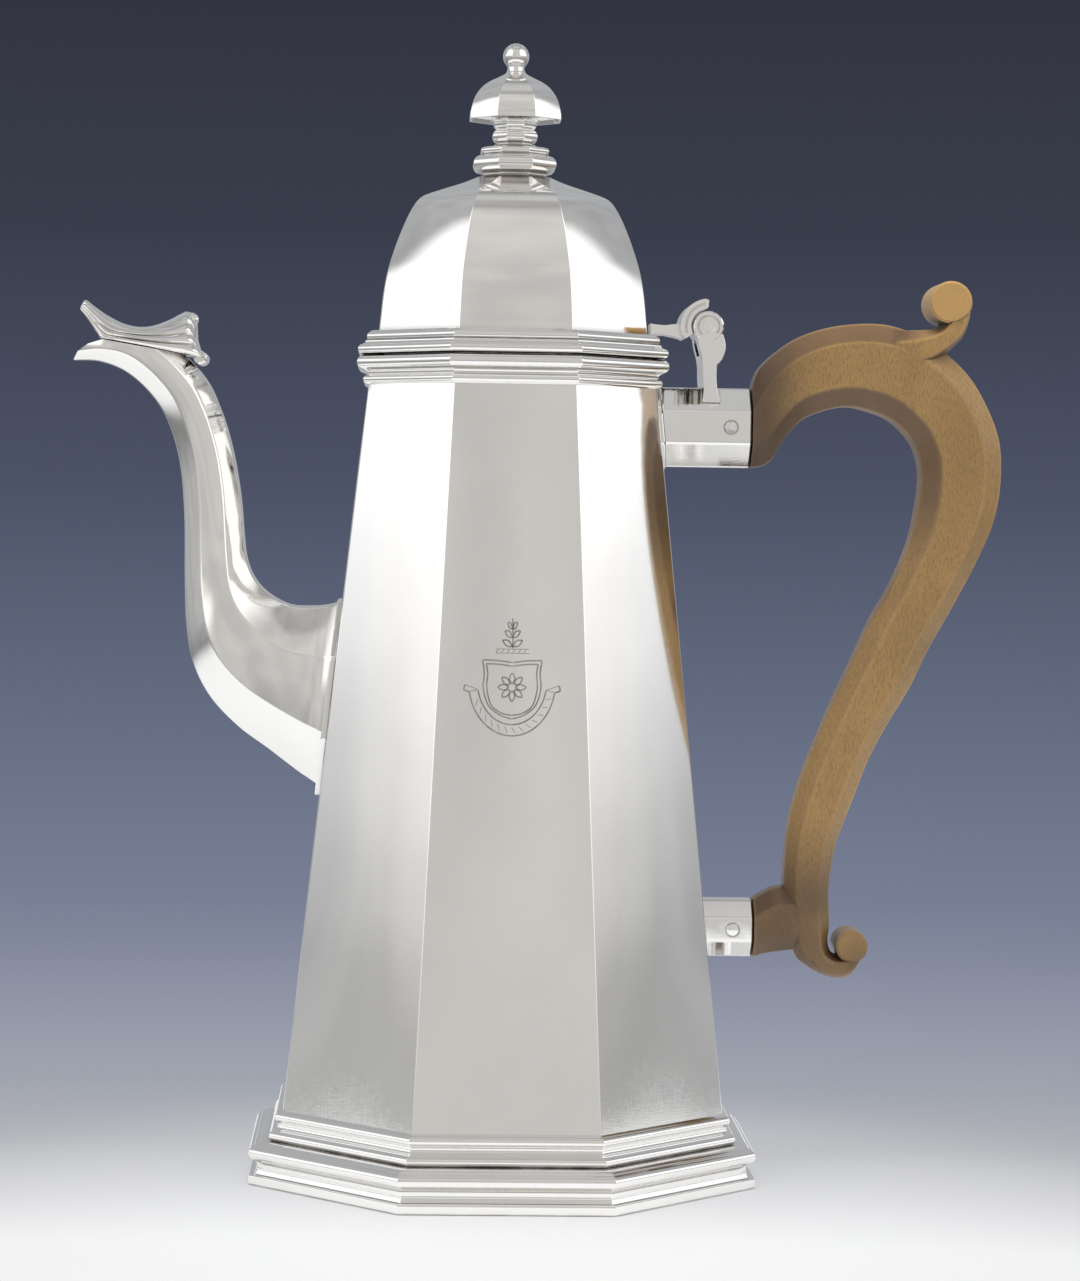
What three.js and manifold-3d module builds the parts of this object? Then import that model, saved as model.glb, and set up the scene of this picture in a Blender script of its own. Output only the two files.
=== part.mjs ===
// Eight-sided silver coffee pot with a hinged domed lid, a swan-neck spout and a scrolled
// wooden handle. Millimetres, +Z up. While the pot is built its own axis is the Z axis,
// +X points at the handle and -X at the spout; the foot stands on Z = 0.

import * as THREE from 'three';
import { mergeVertices } from 'three/addons/utils/BufferGeometryUtils.js';
import Module from 'manifold-3d';

const wasm = await Module();
wasm.setup();

// ---------------------------------------------------------------- driving dimensions

// Clearances
const seam = 0.05; // level faces soldered together
const cutGap = 0.3; // faces that are cut to their neighbour, or turned with a group
const pinFit = 0.1; // radial clearance of a pin in its hole

// Foot, from the table up
const footApothem = 56;
const footRimHeight = 2.3;
const skirtHeight = 7.05;
const footMouldingHeight = 6.6;
const skirtThickness = 2.2;

// Body, an octagonal cone; apothems are measured across the flats, halved
const bodyBottomApothem = 48.7;
const bodyTopApothem = 31.3;
const bodyHeight = 167;
const bodyWall = 1;
const basePlateThickness = 1.2;
const rimMouldingHeight = 6.4;

// Lid
const lidGap = 0.3;
const lidRimHeight = 3;
const lidStepHeight = 2.3;
const lidWall = 1;
const domeInset = 1.6;
const domeHeight = 35.6;
const bezelDepth = 4.5;
const bezelWall = 1;

// Finial
const collarHeight = 6.9;
const stemHeight = 5.5;
const bellHeight = 11.1;
const bellApothem = 10.2;
const ballRadius = 2.9;
const ballStandOff = 1.1; // from the bell's top to the ball's neck
const studRadius = 1.5;

// Lid hinge
const hingeReach = 12.5; // from the body's top flat to the pin
const hingeRise = 8; // from the brim to the pin
const hingeWidth = 15;
const knuckleRadius = 3.45;
const lidKnuckleWidth = 5.6;
const hingePinRadius = 1.4;
const leafThickness = 2.35;
const leafClearance = 0.45;
const armWidth = 8;

// Handle sockets: octagonal tubes on the +X flat
const upperSocketDrop = 14.5; // from the brim to its middle
const upperSocketApothem = 8.9;
const upperSocketLength = 20.9; // from the body's flat to its open end, at its middle
const lowerSocketHeight = 55.5;
const lowerSocketApothem = 6.45;
const lowerSocketLength = 11.6;
const socketWall = 1.2;
const socketPlateThickness = 1;
const socketPinRadius = 1.45;
const socketPinInset = 4.6;

// Handle
const handleThickness = 15;
const upperTenonLength = 12;
const lowerTenonLength = 9;

// Spout
const spoutRootDrop = 75.2; // from the brim to the middle of the root
const spoutWall = 1;
const flangeThickness = 1.4;
const strainerHoleRadius = 1.9;
const strainerPitch = 6;

// ---------------------------------------------------------------- derived levels

const skirtBottom = footRimHeight + seam;
const skirtTop = skirtBottom + skirtHeight;
const footMouldingBottom = skirtTop + seam;
const footTop = footMouldingBottom + footMouldingHeight;
const brim = footTop + bodyHeight;
const bodyBottom = footMouldingBottom + 0.2;
const lidBottom = brim + lidGap;
const lidStepBottom = lidBottom + lidRimHeight + seam;
const domeBottom = lidStepBottom + lidStepHeight;
const domeTop = domeBottom + domeHeight;
const collarBottom = domeTop + seam;
const stemBottom = collarBottom + collarHeight + seam;
const bellBottom = stemBottom + stemHeight + seam;
const hingeX = bodyTopApothem + hingeReach;
const hingeZ = brim + hingeRise;
const upperSocketZ = brim - upperSocketDrop;
const spoutRootZ = brim - spoutRootDrop;
const domeApothem = bodyTopApothem - domeInset;

const taper = (bodyBottomApothem - bodyTopApothem) / bodyHeight;
const bodyApothem = (z) => bodyBottomApothem - taper * (z - footTop);
const upperSocketReach = bodyApothem(upperSocketZ) + upperSocketLength;
const lowerSocketReach = bodyApothem(lowerSocketHeight) + lowerSocketLength;

// ---------------------------------------------------------------- materials

const silver = new THREE.MeshStandardMaterial({ color: 0xd9d6d2, roughness: 0.12, metalness: 1 });
const silverInside = new THREE.MeshStandardMaterial({ color: 0xc4c0ba, roughness: 0.35, metalness: 1 });
const boxwood = new THREE.MeshStandardMaterial({ color: 0x9c7f56, roughness: 0.45, metalness: 0 });

// ---------------------------------------------------------------- shape helpers

const FLATS = 8;
const HALF_FLAT = Math.PI / FLATS;
const CORNER = 1 / Math.cos(HALF_FLAT); // corner radius of an octagon of apothem 1

const pot = new THREE.Group();
const lid = new THREE.Group();
pot.add(lid);

function addPart(parent, name, geometry, material) {
  const mesh = new THREE.Mesh(geometry, material);
  mesh.name = name;
  parent.add(mesh);
  return mesh;
}

// An outline of [across, up, bulge] entries. A bulge is the height of the round stretch
// that leads to that point, to the right of the way there.
function outline(entries, steps = 5) {
  const points = [];
  for (const [a, z, bulge = 0] of entries) {
    const end = new THREE.Vector2(a, z);
    if (bulge !== 0) {
      const start = points[points.length - 1];
      const half = start.distanceTo(end) / 2;
      const along = end.clone().sub(start).divideScalar(2 * half);
      const right = new THREE.Vector2(along.y, -along.x);
      const radius = (half * half + bulge * bulge) / (2 * bulge);
      const centre = start.clone().add(end).divideScalar(2).addScaledVector(right, bulge - radius);
      const sweep = Math.asin(half / Math.abs(radius));
      for (let i = 1; i < steps; i++) {
        const turn = -sweep + (2 * sweep * i) / steps;
        const offset = right.clone().multiplyScalar(radius * Math.cos(turn));
        offset.addScaledVector(along, Math.abs(radius) * Math.sin(turn));
        points.push(centre.clone().add(offset));
      }
    }
    points.push(end);
  }
  return points;
}

// An octagonal ring or cap about the Z axis: the closed outline gives apothem and height.
function octagonal(points, sides = FLATS) {
  const corner = 1 / Math.cos(Math.PI / sides);
  const closed = points.map((p) => new THREE.Vector2(p.x * corner, p.y));
  closed.push(closed[0].clone());
  const geometry = new THREE.LatheGeometry(closed, sides, Math.PI / sides);
  geometry.rotateX(Math.PI / 2);
  return geometry;
}

// The same line moved by a wall, to the left of the way it runs.
function insetLine(points, wall) {
  return points.map((p, i) => {
    const before = points[Math.max(i - 1, 0)];
    const after = points[Math.min(i + 1, points.length - 1)];
    const along = after.clone().sub(before).normalize();
    return new THREE.Vector2(p.x - along.y * wall, p.y + along.x * wall);
  });
}

function toSolid(geometry) {
  const bare = geometry.clone();
  bare.deleteAttribute('normal');
  bare.deleteAttribute('uv');
  const merged = mergeVertices(bare, 1e-4);
  const vertProperties = new Float32Array(merged.attributes.position.array);
  const triVerts = new Uint32Array(merged.index.array);
  return new wasm.Manifold(new wasm.Mesh({ numProp: 3, vertProperties, triVerts }));
}

function toGeometry(solid) {
  const { vertProperties, triVerts } = solid.getMesh();
  const geometry = new THREE.BufferGeometry();
  geometry.setAttribute('position', new THREE.BufferAttribute(vertProperties, 3));
  geometry.setIndex(new THREE.BufferAttribute(triVerts, 1));
  geometry.computeVertexNormals();
  return geometry;
}

// A side view of X and Z points, made thick along Y and centred on the pot's middle plane.
function sidePlate(shape, thickness, options = {}) {
  const settings = { depth: thickness, bevelEnabled: false, curveSegments: 8, ...options };
  const geometry = new THREE.ExtrudeGeometry(shape, settings);
  geometry.rotateX(Math.PI / 2);
  geometry.computeBoundingBox();
  const { min, max } = geometry.boundingBox;
  geometry.translate(0, -(min.y + max.y) / 2, 0);
  return geometry;
}

function polygon(points) {
  return new THREE.Shape(points.map(([x, z]) => new THREE.Vector2(x, z)));
}

function cylinderAlongY(radius, width, x, z, sides = 24) {
  return new THREE.CylinderGeometry(radius, radius, width, sides).translate(x, 0, z);
}

// An octagonal prism along X, one flat up.
function octagonAlongX(apothem, fromX, toX, z) {
  const corner = apothem * CORNER;
  const prism = new THREE.CylinderGeometry(corner, corner, toX - fromX, FLATS, 1, false, HALF_FLAT);
  prism.rotateZ(Math.PI / 2);
  return prism.translate((fromX + toX) / 2, 0, z);
}

// An eight-sided section between an under point and an upper point. The flat share is how
// much of each side stays flat between its chamfers.
function eightSided({ under, upper, half, flat = Math.tan(HALF_FLAT) }) {
  const middle = under.clone().add(upper).divideScalar(2);
  const rise = upper.clone().sub(under).divideScalar(2);
  const corners = [
    [-flat, -1],
    [flat, -1],
    [1, -flat],
    [1, flat],
    [flat, 1],
    [-flat, 1],
    [-1, flat],
    [-1, -flat],
  ];
  return corners.map(([across, up]) => {
    const p = middle.clone().addScaledVector(rise, up);
    return new THREE.Vector3(p.x, across * half, p.y);
  });
}

// A closed body through a row of sections, with a flat end at each.
function loft(sections) {
  const sides = sections[0].length;
  const positions = sections.flat().flatMap((p) => [p.x, p.y, p.z]);
  const index = [];
  for (let s = 0; s + 1 < sections.length; s++) {
    for (let i = 0; i < sides; i++) {
      const a = s * sides + i;
      const b = s * sides + ((i + 1) % sides);
      index.push(a, b, a + sides, b, b + sides, a + sides);
    }
  }
  const last = (sections.length - 1) * sides;
  for (let i = 1; i + 1 < sides; i++) {
    index.push(0, i + 1, i, last, last + i, last + i + 1);
  }
  const geometry = new THREE.BufferGeometry();
  geometry.setAttribute('position', new THREE.Float32BufferAttribute(positions, 3));
  geometry.setIndex(index);
  return geometry;
}

// Sections through a row of stations, rounded off between them; an inset moves them inwards.
function sweptSections(stations, steps, inset = 0) {
  const line = (pick) => new THREE.SplineCurve(stations.map(pick));
  const under = line((s) => s.under);
  const upper = line((s) => s.upper);
  const width = line((s) => new THREE.Vector2(s.half, s.flat ?? Math.tan(HALF_FLAT)));
  const sections = [];
  for (let i = 0; i <= steps; i++) {
    const t = i / steps;
    const low = under.getPoint(t);
    const high = upper.getPoint(t);
    const rise = high.clone().sub(low).normalize().multiplyScalar(inset);
    const size = width.getPoint(t);
    sections.push(eightSided({
      under: low.add(rise),
      upper: high.sub(rise),
      half: size.x - inset,
      flat: size.y,
    }));
  }
  return sections;
}

// The body's outside as a solid, standing off by a gap, to cut what is fitted to it.
function bodyCutter(offset) {
  const bottom = bodyBottom - 5;
  const top = brim + 5;
  const points = [
    [0, bottom],
    [bodyApothem(bottom) + offset, bottom],
    [bodyApothem(top) + offset, top],
    [0, top],
  ];
  return toSolid(octagonal(outline(points)));
}

// ---------------------------------------------------------------- foot

function footRim() {
  const inner = footApothem - skirtThickness - 1.2;
  const edge = 0.4;
  return octagonal(outline([
    [inner, 0],
    [footApothem - edge, 0],
    [footApothem, edge],
    [footApothem, footRimHeight - edge],
    [footApothem - edge, footRimHeight],
    [inner, footRimHeight],
  ]));
}

function footSkirt() {
  const outer = footApothem - 1.1;
  const lip = bodyApothem(bodyBottom) + cutGap;
  return octagonal(outline([
    [outer - skirtThickness, skirtBottom],
    [outer - 0.6, skirtBottom],
    [outer - 0.9, skirtBottom + 0.8],
    [outer, skirtBottom + 3.2, -0.3],
    [outer - 0.6, skirtTop - 0.5, 0.75],
    [outer - 1.5, skirtTop],
    [lip, skirtTop],
    [lip, skirtTop - 1.3],
    [outer - skirtThickness - 0.4, skirtTop - 2.4],
  ]));
}

function footMoulding() {
  const lean = seam * CORNER;
  const low = bodyApothem(footMouldingBottom) + lean;
  const high = bodyApothem(footTop) + lean;
  return octagonal(outline([
    [low, footMouldingBottom],
    [high + 2.1, footMouldingBottom],
    [high + 2.3, footMouldingBottom + 2, 0.45],
    [high + 0.8, footMouldingBottom + 3.8, -0.35],
    [high + 0.7, footTop - 0.5, 0.4],
    [high, footTop],
  ]));
}

// ---------------------------------------------------------------- body

// Small holes through the wall behind the spout, in staggered rows, hold back the grounds.
function strainerHoles() {
  const rows = 5;
  const holes = [];
  for (let row = 0; row < rows; row++) {
    const count = row % 2 === 0 ? 3 : 2;
    for (let i = 0; i < count; i++) {
      const y = (i - (count - 1) / 2) * strainerPitch;
      const z = spoutRootZ + (row - (rows - 1) / 2) * strainerPitch * 0.87;
      const hole = new THREE.CylinderGeometry(strainerHoleRadius, strainerHoleRadius, 12, 12);
      hole.rotateZ(Math.PI / 2).translate(-bodyApothem(z), y, z);
      holes.push(toSolid(hole));
    }
  }
  return holes;
}

function bodyShell() {
  const wall = bodyWall * Math.sqrt(1 + taper * taper);
  let shell = toSolid(octagonal(outline([
    [bodyApothem(bodyBottom) - wall, bodyBottom],
    [bodyApothem(bodyBottom), bodyBottom],
    [bodyApothem(brim), brim],
    [bodyApothem(brim) - wall, brim],
  ])));
  for (const hole of strainerHoles()) {
    shell = shell.subtract(hole);
  }
  return toGeometry(shell);
}

function basePlate() {
  const top = bodyBottom - seam;
  const edge = bodyApothem(bodyBottom);
  return octagonal(outline([
    [0, top - basePlateThickness],
    [edge, top - basePlateThickness],
    [edge, top],
    [0, top],
  ]));
}

const rimBottom = brim - rimMouldingHeight;
const rimBead = bodyTopApothem + 1.95;

function bodyRim() {
  const lean = seam * CORNER;
  const low = bodyApothem(rimBottom) + lean;
  const high = bodyApothem(brim) + lean;
  return octagonal(outline([
    [low, rimBottom],
    [bodyTopApothem + 1, rimBottom],
    [bodyTopApothem + 1.6, rimBottom + 2.5, 0.35],
    [bodyTopApothem + 2.2, rimBottom + 2.9],
    [bodyTopApothem + 2.5, brim, 0.85],
    [high, brim],
  ]));
}

// ---------------------------------------------------------------- lid

function lidRim() {
  const inner = domeApothem + seam;
  const top = lidBottom + lidRimHeight;
  return octagonal(outline([
    [inner, lidBottom],
    [bodyTopApothem + 2.4, lidBottom],
    [bodyTopApothem + 2.1, lidBottom + 2.3, 0.5],
    [bodyTopApothem + 1.5, top],
    [inner, top],
  ]));
}

function lidStep() {
  const inner = domeApothem + seam;
  return octagonal(outline([
    [inner, lidStepBottom],
    [bodyTopApothem + 0.8, lidStepBottom],
    [bodyTopApothem + 0.3, domeBottom - 0.4, 0.45],
    [inner, domeBottom],
  ]));
}

// The dome's outside from its foot to the middle: a steep round wall, a tight shoulder
// and a low rise to the finial.
function domeLine() {
  const at = (across, up) => new THREE.Vector2(across * domeApothem, domeBottom + up * domeHeight);
  const wall = new THREE.CubicBezierCurve(at(1, 0), at(0.98, 0.3), at(0.9, 0.63), at(0.73, 0.81));
  const shoulder = new THREE.QuadraticBezierCurve(at(0.73, 0.81), at(0.69, 0.86), at(0.61, 0.87));
  const rise = new THREE.QuadraticBezierCurve(at(0.61, 0.87), at(0.42, 0.905), at(0.25, 1));
  const points = wall.getPoints(10);
  points.push(...shoulder.getPoints(3).slice(1));
  points.push(...rise.getPoints(3).slice(1));
  return points;
}

const studHole = studRadius + pinFit;

function lidDome() {
  const outer = domeLine();
  const inner = insetLine(outer, lidWall);
  const rest = lidBottom + seam;
  const points = [
    new THREE.Vector2(domeApothem - lidWall, rest),
    new THREE.Vector2(domeApothem, rest),
    ...outer,
    new THREE.Vector2(studHole, domeTop),
    new THREE.Vector2(studHole, domeTop - lidWall),
    ...inner.reverse(),
  ];
  return octagonal(points);
}

function lidBezel() {
  const outer = domeApothem - lidWall - seam;
  const top = domeBottom - 1;
  return octagonal(outline([
    [outer - bezelWall, brim - bezelDepth],
    [outer, brim - bezelDepth],
    [outer, top],
    [outer - bezelWall, top],
  ]));
}

// ---------------------------------------------------------------- finial

function finialCollar() {
  const z = collarBottom;
  const neck = 0.25 * domeApothem - 0.4;
  return octagonal(outline([
    [studHole, z],
    [neck, z],
    [neck, z + 1.1],
    [neck + 1.3, z + 1.1],
    [neck + 1.2, z + 4.4, 0.85],
    [neck + 0.3, z + 4.6],
    [neck, z + 6.3, 0.4],
    [4.2, z + collarHeight],
    [studHole, z + collarHeight],
  ]));
}

function finialStem() {
  const z = stemBottom;
  return octagonal(outline([
    [studHole, z],
    [3.5, z],
    [3.8, z + 0.4],
    [3.8, z + 3.2, 0.65],
    [3.3, z + 3.5],
    [3.5, z + stemHeight, 0.35],
    [studHole, z + stemHeight],
  ]));
}

const studTop = bellBottom + 0.72 * bellHeight;

function finialBell() {
  const at = (across, up) => new THREE.Vector2(across * bellApothem, bellBottom + up * bellHeight);
  const ballNeck = 0.19 * bellApothem;
  const side = new THREE.CubicBezierCurve(at(1, 0), at(1, 0.33), at(0.82, 0.67), at(0.56, 0.77));
  const sweep = new THREE.QuadraticBezierCurve(at(0.56, 0.77), at(0.29, 0.87), at(0.19, 1));
  const ballRise = Math.sqrt(ballRadius * ballRadius - ballNeck * ballNeck);
  const ballCentre = bellBottom + bellHeight + ballStandOff + ballRise;
  const points = [
    new THREE.Vector2(studHole, bellBottom),
    ...side.getPoints(7),
    ...sweep.getPoints(3).slice(1),
  ];
  const steps = 7;
  const low = Math.atan2(-ballRise, ballNeck);
  for (let i = 1; i <= steps; i++) {
    const turn = low + ((Math.PI / 2 - low) * i) / steps;
    points.push(new THREE.Vector2(
      Math.max(ballRadius * Math.cos(turn), 0),
      ballCentre + ballRadius * Math.sin(turn),
    ));
  }
  points.push(new THREE.Vector2(0, studTop + seam));
  points.push(new THREE.Vector2(studHole, studTop + seam));
  return octagonal(points);
}

const washerTop = domeTop - lidWall - seam;
const washerThickness = 1;
const nutThickness = 2.4;
const nutTop = washerTop - washerThickness - seam;

function finialStud() {
  const bottom = nutTop - nutThickness - 0.8;
  return octagonal(outline([
    [0, bottom],
    [studRadius, bottom],
    [studRadius, studTop],
    [0, studTop],
  ]));
}

function finialWasher() {
  const outer = 0.2 * domeApothem;
  return octagonal(outline([
    [studHole, washerTop - washerThickness],
    [outer, washerTop - washerThickness],
    [outer, washerTop],
    [studHole, washerTop],
  ]));
}

function finialNut() {
  const outer = studRadius + 2;
  const ring = outline([
    [studHole, nutTop - nutThickness],
    [outer, nutTop - nutThickness],
    [outer, nutTop],
    [studHole, nutTop],
  ]);
  return octagonal(ring, 6);
}

// ---------------------------------------------------------------- hinge

// A slice of a ring about the hinge pin, as a side view; angles in degrees from +X.
function ringSlice(inner, outer, fromAngle, toAngle) {
  const from = THREE.MathUtils.degToRad(fromAngle);
  const to = THREE.MathUtils.degToRad(toAngle);
  const shape = new THREE.Shape();
  shape.absarc(hingeX, hingeZ, outer, from, to, false);
  shape.absarc(hingeX, hingeZ, inner, to, from, true);
  return shape;
}

const boreRadius = hingePinRadius + pinFit;
const leafInner = knuckleRadius + leafClearance;
const leafOuter = leafInner + leafThickness;

// The post stands on the upper socket: a flat shaft, a cupped leaf and two knuckles.
function hingePost() {
  const at = (x, z) => [hingeX + x, hingeZ + z];
  const foot = upperSocketZ + upperSocketApothem - 4 - hingeZ;
  const side = polygon([
    at(-2.6, -2.2),
    at(-1.6, -6.4),
    at(-1.3, -8.3),
    at(-0.9, foot + 1.6),
    at(-1.2, foot),
    at(3, foot),
    at(2.2, foot + 2.4),
    at(2, -8),
    at(3.3, -7),
    at(4, -4.8),
    at(3.4, -1.8),
    at(0, -1),
  ]);
  const slot = lidKnuckleWidth + 2 * cutGap;
  const socket = octagonAlongX(upperSocketApothem + cutGap, hingeX - 20, hingeX + 20, upperSocketZ);
  const post = toSolid(sidePlate(side, hingeWidth))
    .add(toSolid(cylinderAlongY(knuckleRadius, hingeWidth, hingeX, hingeZ)))
    .subtract(toSolid(cylinderAlongY(leafInner, slot, hingeX, hingeZ)))
    .subtract(toSolid(cylinderAlongY(boreRadius, 2 * hingeWidth, hingeX, hingeZ)))
    .subtract(toSolid(socket));
  return toGeometry(post);
}

function hingePin() {
  const head = 0.5;
  const end = hingeWidth / 2 + seam;
  const pin = new THREE.LatheGeometry(outline([
    [0, -end - head],
    [hingePinRadius + 0.6, -end - head],
    [hingePinRadius + 0.6, -end],
    [hingePinRadius, -end],
    [hingePinRadius, end],
    [hingePinRadius + 0.6, end],
    [hingePinRadius + 0.6, end + head],
    [0, end + head],
  ]), 24);
  return pin.translate(hingeX, 0, hingeZ);
}

// The lid's arm: a root plate on the dome, a flat bar, a hooked leaf over the knuckles and
// the middle knuckle.
function lidArm() {
  const root = domeApothem + cutGap;
  const barLow = hingeZ - 2;
  const barHigh = hingeZ + 0.8;
  const barEnd = hingeX - leafInner - 0.6;
  const bar = polygon([
    [root, barLow - 0.1],
    [barEnd, barLow],
    [barEnd, barHigh],
    [root, barHigh],
  ]);
  const rootPlate = polygon([
    [root, domeBottom + seam],
    [root + 0.9, domeBottom + seam],
    [root + 0.9, barHigh + 2],
    [root, barHigh + 2],
  ]);
  const arm = toSolid(sidePlate(bar, armWidth))
    .add(toSolid(sidePlate(rootPlate, armWidth + 4)))
    .add(toSolid(sidePlate(ringSlice(leafInner, leafOuter, 92, 206), hingeWidth)))
    .add(toSolid(sidePlate(ringSlice(boreRadius + 0.5, leafOuter - 1, 110, 200), lidKnuckleWidth)))
    .add(toSolid(cylinderAlongY(knuckleRadius, lidKnuckleWidth, hingeX, hingeZ)))
    .subtract(toSolid(cylinderAlongY(boreRadius, 2 * hingeWidth, hingeX, hingeZ)));
  return toGeometry(arm);
}

// ---------------------------------------------------------------- sockets

// What the body's rim moulding fills, standing off by a gap.
function rimCutter() {
  const outer = rimBead + cutGap;
  const points = [
    [0, rimBottom - cutGap],
    [outer, rimBottom - cutGap],
    [outer, brim],
    [0, brim],
  ];
  return toSolid(octagonal(outline(points)));
}

function socket(apothem, reach, z, standOff) {
  const start = bodyApothem(z) - 3;
  const bore = apothem - socketWall;
  const pinX = reach - socketPinInset;
  const tube = toSolid(octagonAlongX(apothem, start, reach, z))
    .subtract(toSolid(octagonAlongX(bore, start - 1, reach + 1, z)))
    .subtract(bodyCutter(standOff))
    .subtract(rimCutter())
    .subtract(toSolid(cylinderAlongY(socketPinRadius + pinFit, 4 * apothem, pinX, z, 16)));
  return toGeometry(tube);
}

function socketPlate(apothem, z) {
  const start = bodyApothem(z) - 4;
  const inner = bodyCutter(cutGap);
  const outer = bodyCutter(cutGap + socketPlateThickness);
  const plate = toSolid(octagonAlongX(apothem + 0.5, start, start + 8, z))
    .subtract(toSolid(octagonAlongX(apothem - socketWall, start - 1, start + 9, z)))
    .subtract(inner)
    .intersect(outer)
    .subtract(rimCutter());
  return toGeometry(plate);
}

function socketPin(apothem, reach, z) {
  const width = 2 * (apothem + 0.3);
  return cylinderAlongY(socketPinRadius, width, reach - socketPinInset, z, 16);
}

// ---------------------------------------------------------------- handle

// The handle's points keep their place against the upper or the lower socket, counted
// from the middle of that socket's end.
const byUpper = (x, z) => new THREE.Vector2(upperSocketReach + x, upperSocketZ + z);
const byLower = (x, z) => new THREE.Vector2(lowerSocketReach + x, lowerSocketHeight + z);
const gripHalf = handleThickness / 2;

// The grip, from the upper socket over the top and down to the tail: its inside is the
// under point and its outside the upper point of each station.
function gripStations() {
  const shoulder = upperSocketApothem + 0.1;
  return [
    { under: byUpper(cutGap, -shoulder), upper: byUpper(cutGap, shoulder), half: shoulder, flat: 0.42 },
    { under: byUpper(4.6, -7.6), upper: byUpper(2, 13.4), half: gripHalf + 1, flat: 0.45 },
    { under: byUpper(8.6, -1.3), upper: byUpper(6.3, 17.6), half: gripHalf + 0.4, flat: 0.5 },
    { under: byUpper(13.2, 2.8), upper: byUpper(12, 21.2), half: gripHalf, flat: 0.52 },
    { under: byUpper(21.5, 5.2), upper: byUpper(20.6, 23.5), half: gripHalf, flat: 0.55 },
    { under: byUpper(27.8, 4.1), upper: byUpper(30.8, 23.7), half: gripHalf, flat: 0.55 },
    { under: byUpper(32.1, 2.3), upper: byUpper(39.8, 20.4), half: gripHalf, flat: 0.55 },
    { under: byUpper(35.3, -0.5), upper: byUpper(47.2, 14.9), half: gripHalf, flat: 0.55 },
    { under: byUpper(37.5, -3.5), upper: byUpper(52.3, 8.3), half: gripHalf, flat: 0.55 },
    { under: byUpper(38.9, -8), upper: byUpper(56.5, -1.5), half: gripHalf, flat: 0.55 },
    { under: byUpper(39, -12.5), upper: byUpper(57.1, -11.5), half: gripHalf, flat: 0.55 },
    { under: byUpper(38.3, -18), upper: byUpper(55.7, -20.2), half: gripHalf, flat: 0.54 },
    { under: byUpper(36.7, -25.5), upper: byUpper(52.2, -28.9), half: gripHalf, flat: 0.53 },
    { under: byUpper(33, -34.5), upper: byUpper(46.8, -39.6), half: gripHalf - 0.2, flat: 0.52 },
    { under: byUpper(28.5, -42.6), upper: byUpper(41.6, -49.1), half: gripHalf - 0.4, flat: 0.5 },
    { under: byLower(22.1, 61.6), upper: byLower(35, 55.1), half: gripHalf - 0.6, flat: 0.5 },
    { under: byLower(17.7, 51.8), upper: byLower(30.1, 46.7), half: gripHalf - 0.8, flat: 0.5 },
    { under: byLower(14.1, 43), upper: byLower(26, 38.7), half: gripHalf - 1, flat: 0.5 },
    { under: byLower(11, 34.8), upper: byLower(23.3, 31.5), half: gripHalf - 1.1, flat: 0.5 },
    { under: byLower(9, 28), upper: byLower(20.8, 24.9), half: gripHalf - 1.2, flat: 0.5 },
    { under: byLower(7.9, 22), upper: byLower(19, 19.7), half: gripHalf - 1.2, flat: 0.5 },
    { under: byLower(7.3, 14.5), upper: byLower(17.9, 13.7), half: gripHalf - 1.2, flat: 0.5 },
    { under: byLower(7.2, 7.5), upper: byLower(17.4, 8), half: gripHalf - 1.2, flat: 0.5 },
    { under: byLower(7.8, 0.5), upper: byLower(17.7, 1.5), half: gripHalf - 1.2, flat: 0.5 },
    { under: byLower(9.4, -5), upper: byLower(18.2, -3), half: gripHalf - 1.3, flat: 0.5 },
    { under: byLower(12.4, -8.8), upper: byLower(19.4, -5.5), half: gripHalf - 1.5, flat: 0.5 },
    { under: byLower(16.8, -11.5), upper: byLower(21, -6.9), half: gripHalf - 1.8, flat: 0.5 },
    { under: byLower(21.1, -12.1), upper: byLower(22.5, -7.6), half: gripHalf - 2, flat: 0.5 },
  ];
}

// The short block between the lower socket and the grip.
function blockStations() {
  const shoulder = lowerSocketApothem + 0.2;
  const half = gripHalf - 1.4;
  return [
    { under: byLower(cutGap, -shoulder), upper: byLower(cutGap, shoulder), half: shoulder, flat: 0.42 },
    { under: byLower(3, -5.8), upper: byLower(3, 8.2), half: half + 0.2, flat: 0.46 },
    { under: byLower(6, -5.3), upper: byLower(6, 9.4), half, flat: 0.5 },
    { under: byLower(12, -4.5), upper: byLower(11, 9), half, flat: 0.5 },
  ];
}

// The stem that carries the thumb curl out of the top of the grip.
function thumbStations() {
  const half = gripHalf - 0.6;
  return [
    { under: byUpper(40, 11), upper: byUpper(33, 22.6), half, flat: 0.55 },
    { under: byUpper(44, 17.8), upper: byUpper(40.6, 23.5), half, flat: 0.55 },
    { under: byUpper(46.3, 19.8), upper: byUpper(44, 23.7), half, flat: 0.55 },
    { under: byUpper(47.9, 21.8), upper: byUpper(45, 24.3), half, flat: 0.55 },
    { under: byUpper(49.2, 25), upper: byUpper(45.2, 26), half, flat: 0.55 },
  ];
}

function tenon(socketApothem, reach, z, length) {
  const apothem = socketApothem - socketWall - cutGap;
  return toSolid(octagonAlongX(apothem, reach - length, reach + 3, z))
    .subtract(toSolid(cylinderAlongY(socketPinRadius + pinFit, 60, reach - socketPinInset, z, 16)));
}

const curlRadius = 4.7;
const tailRadius = 4;

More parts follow.
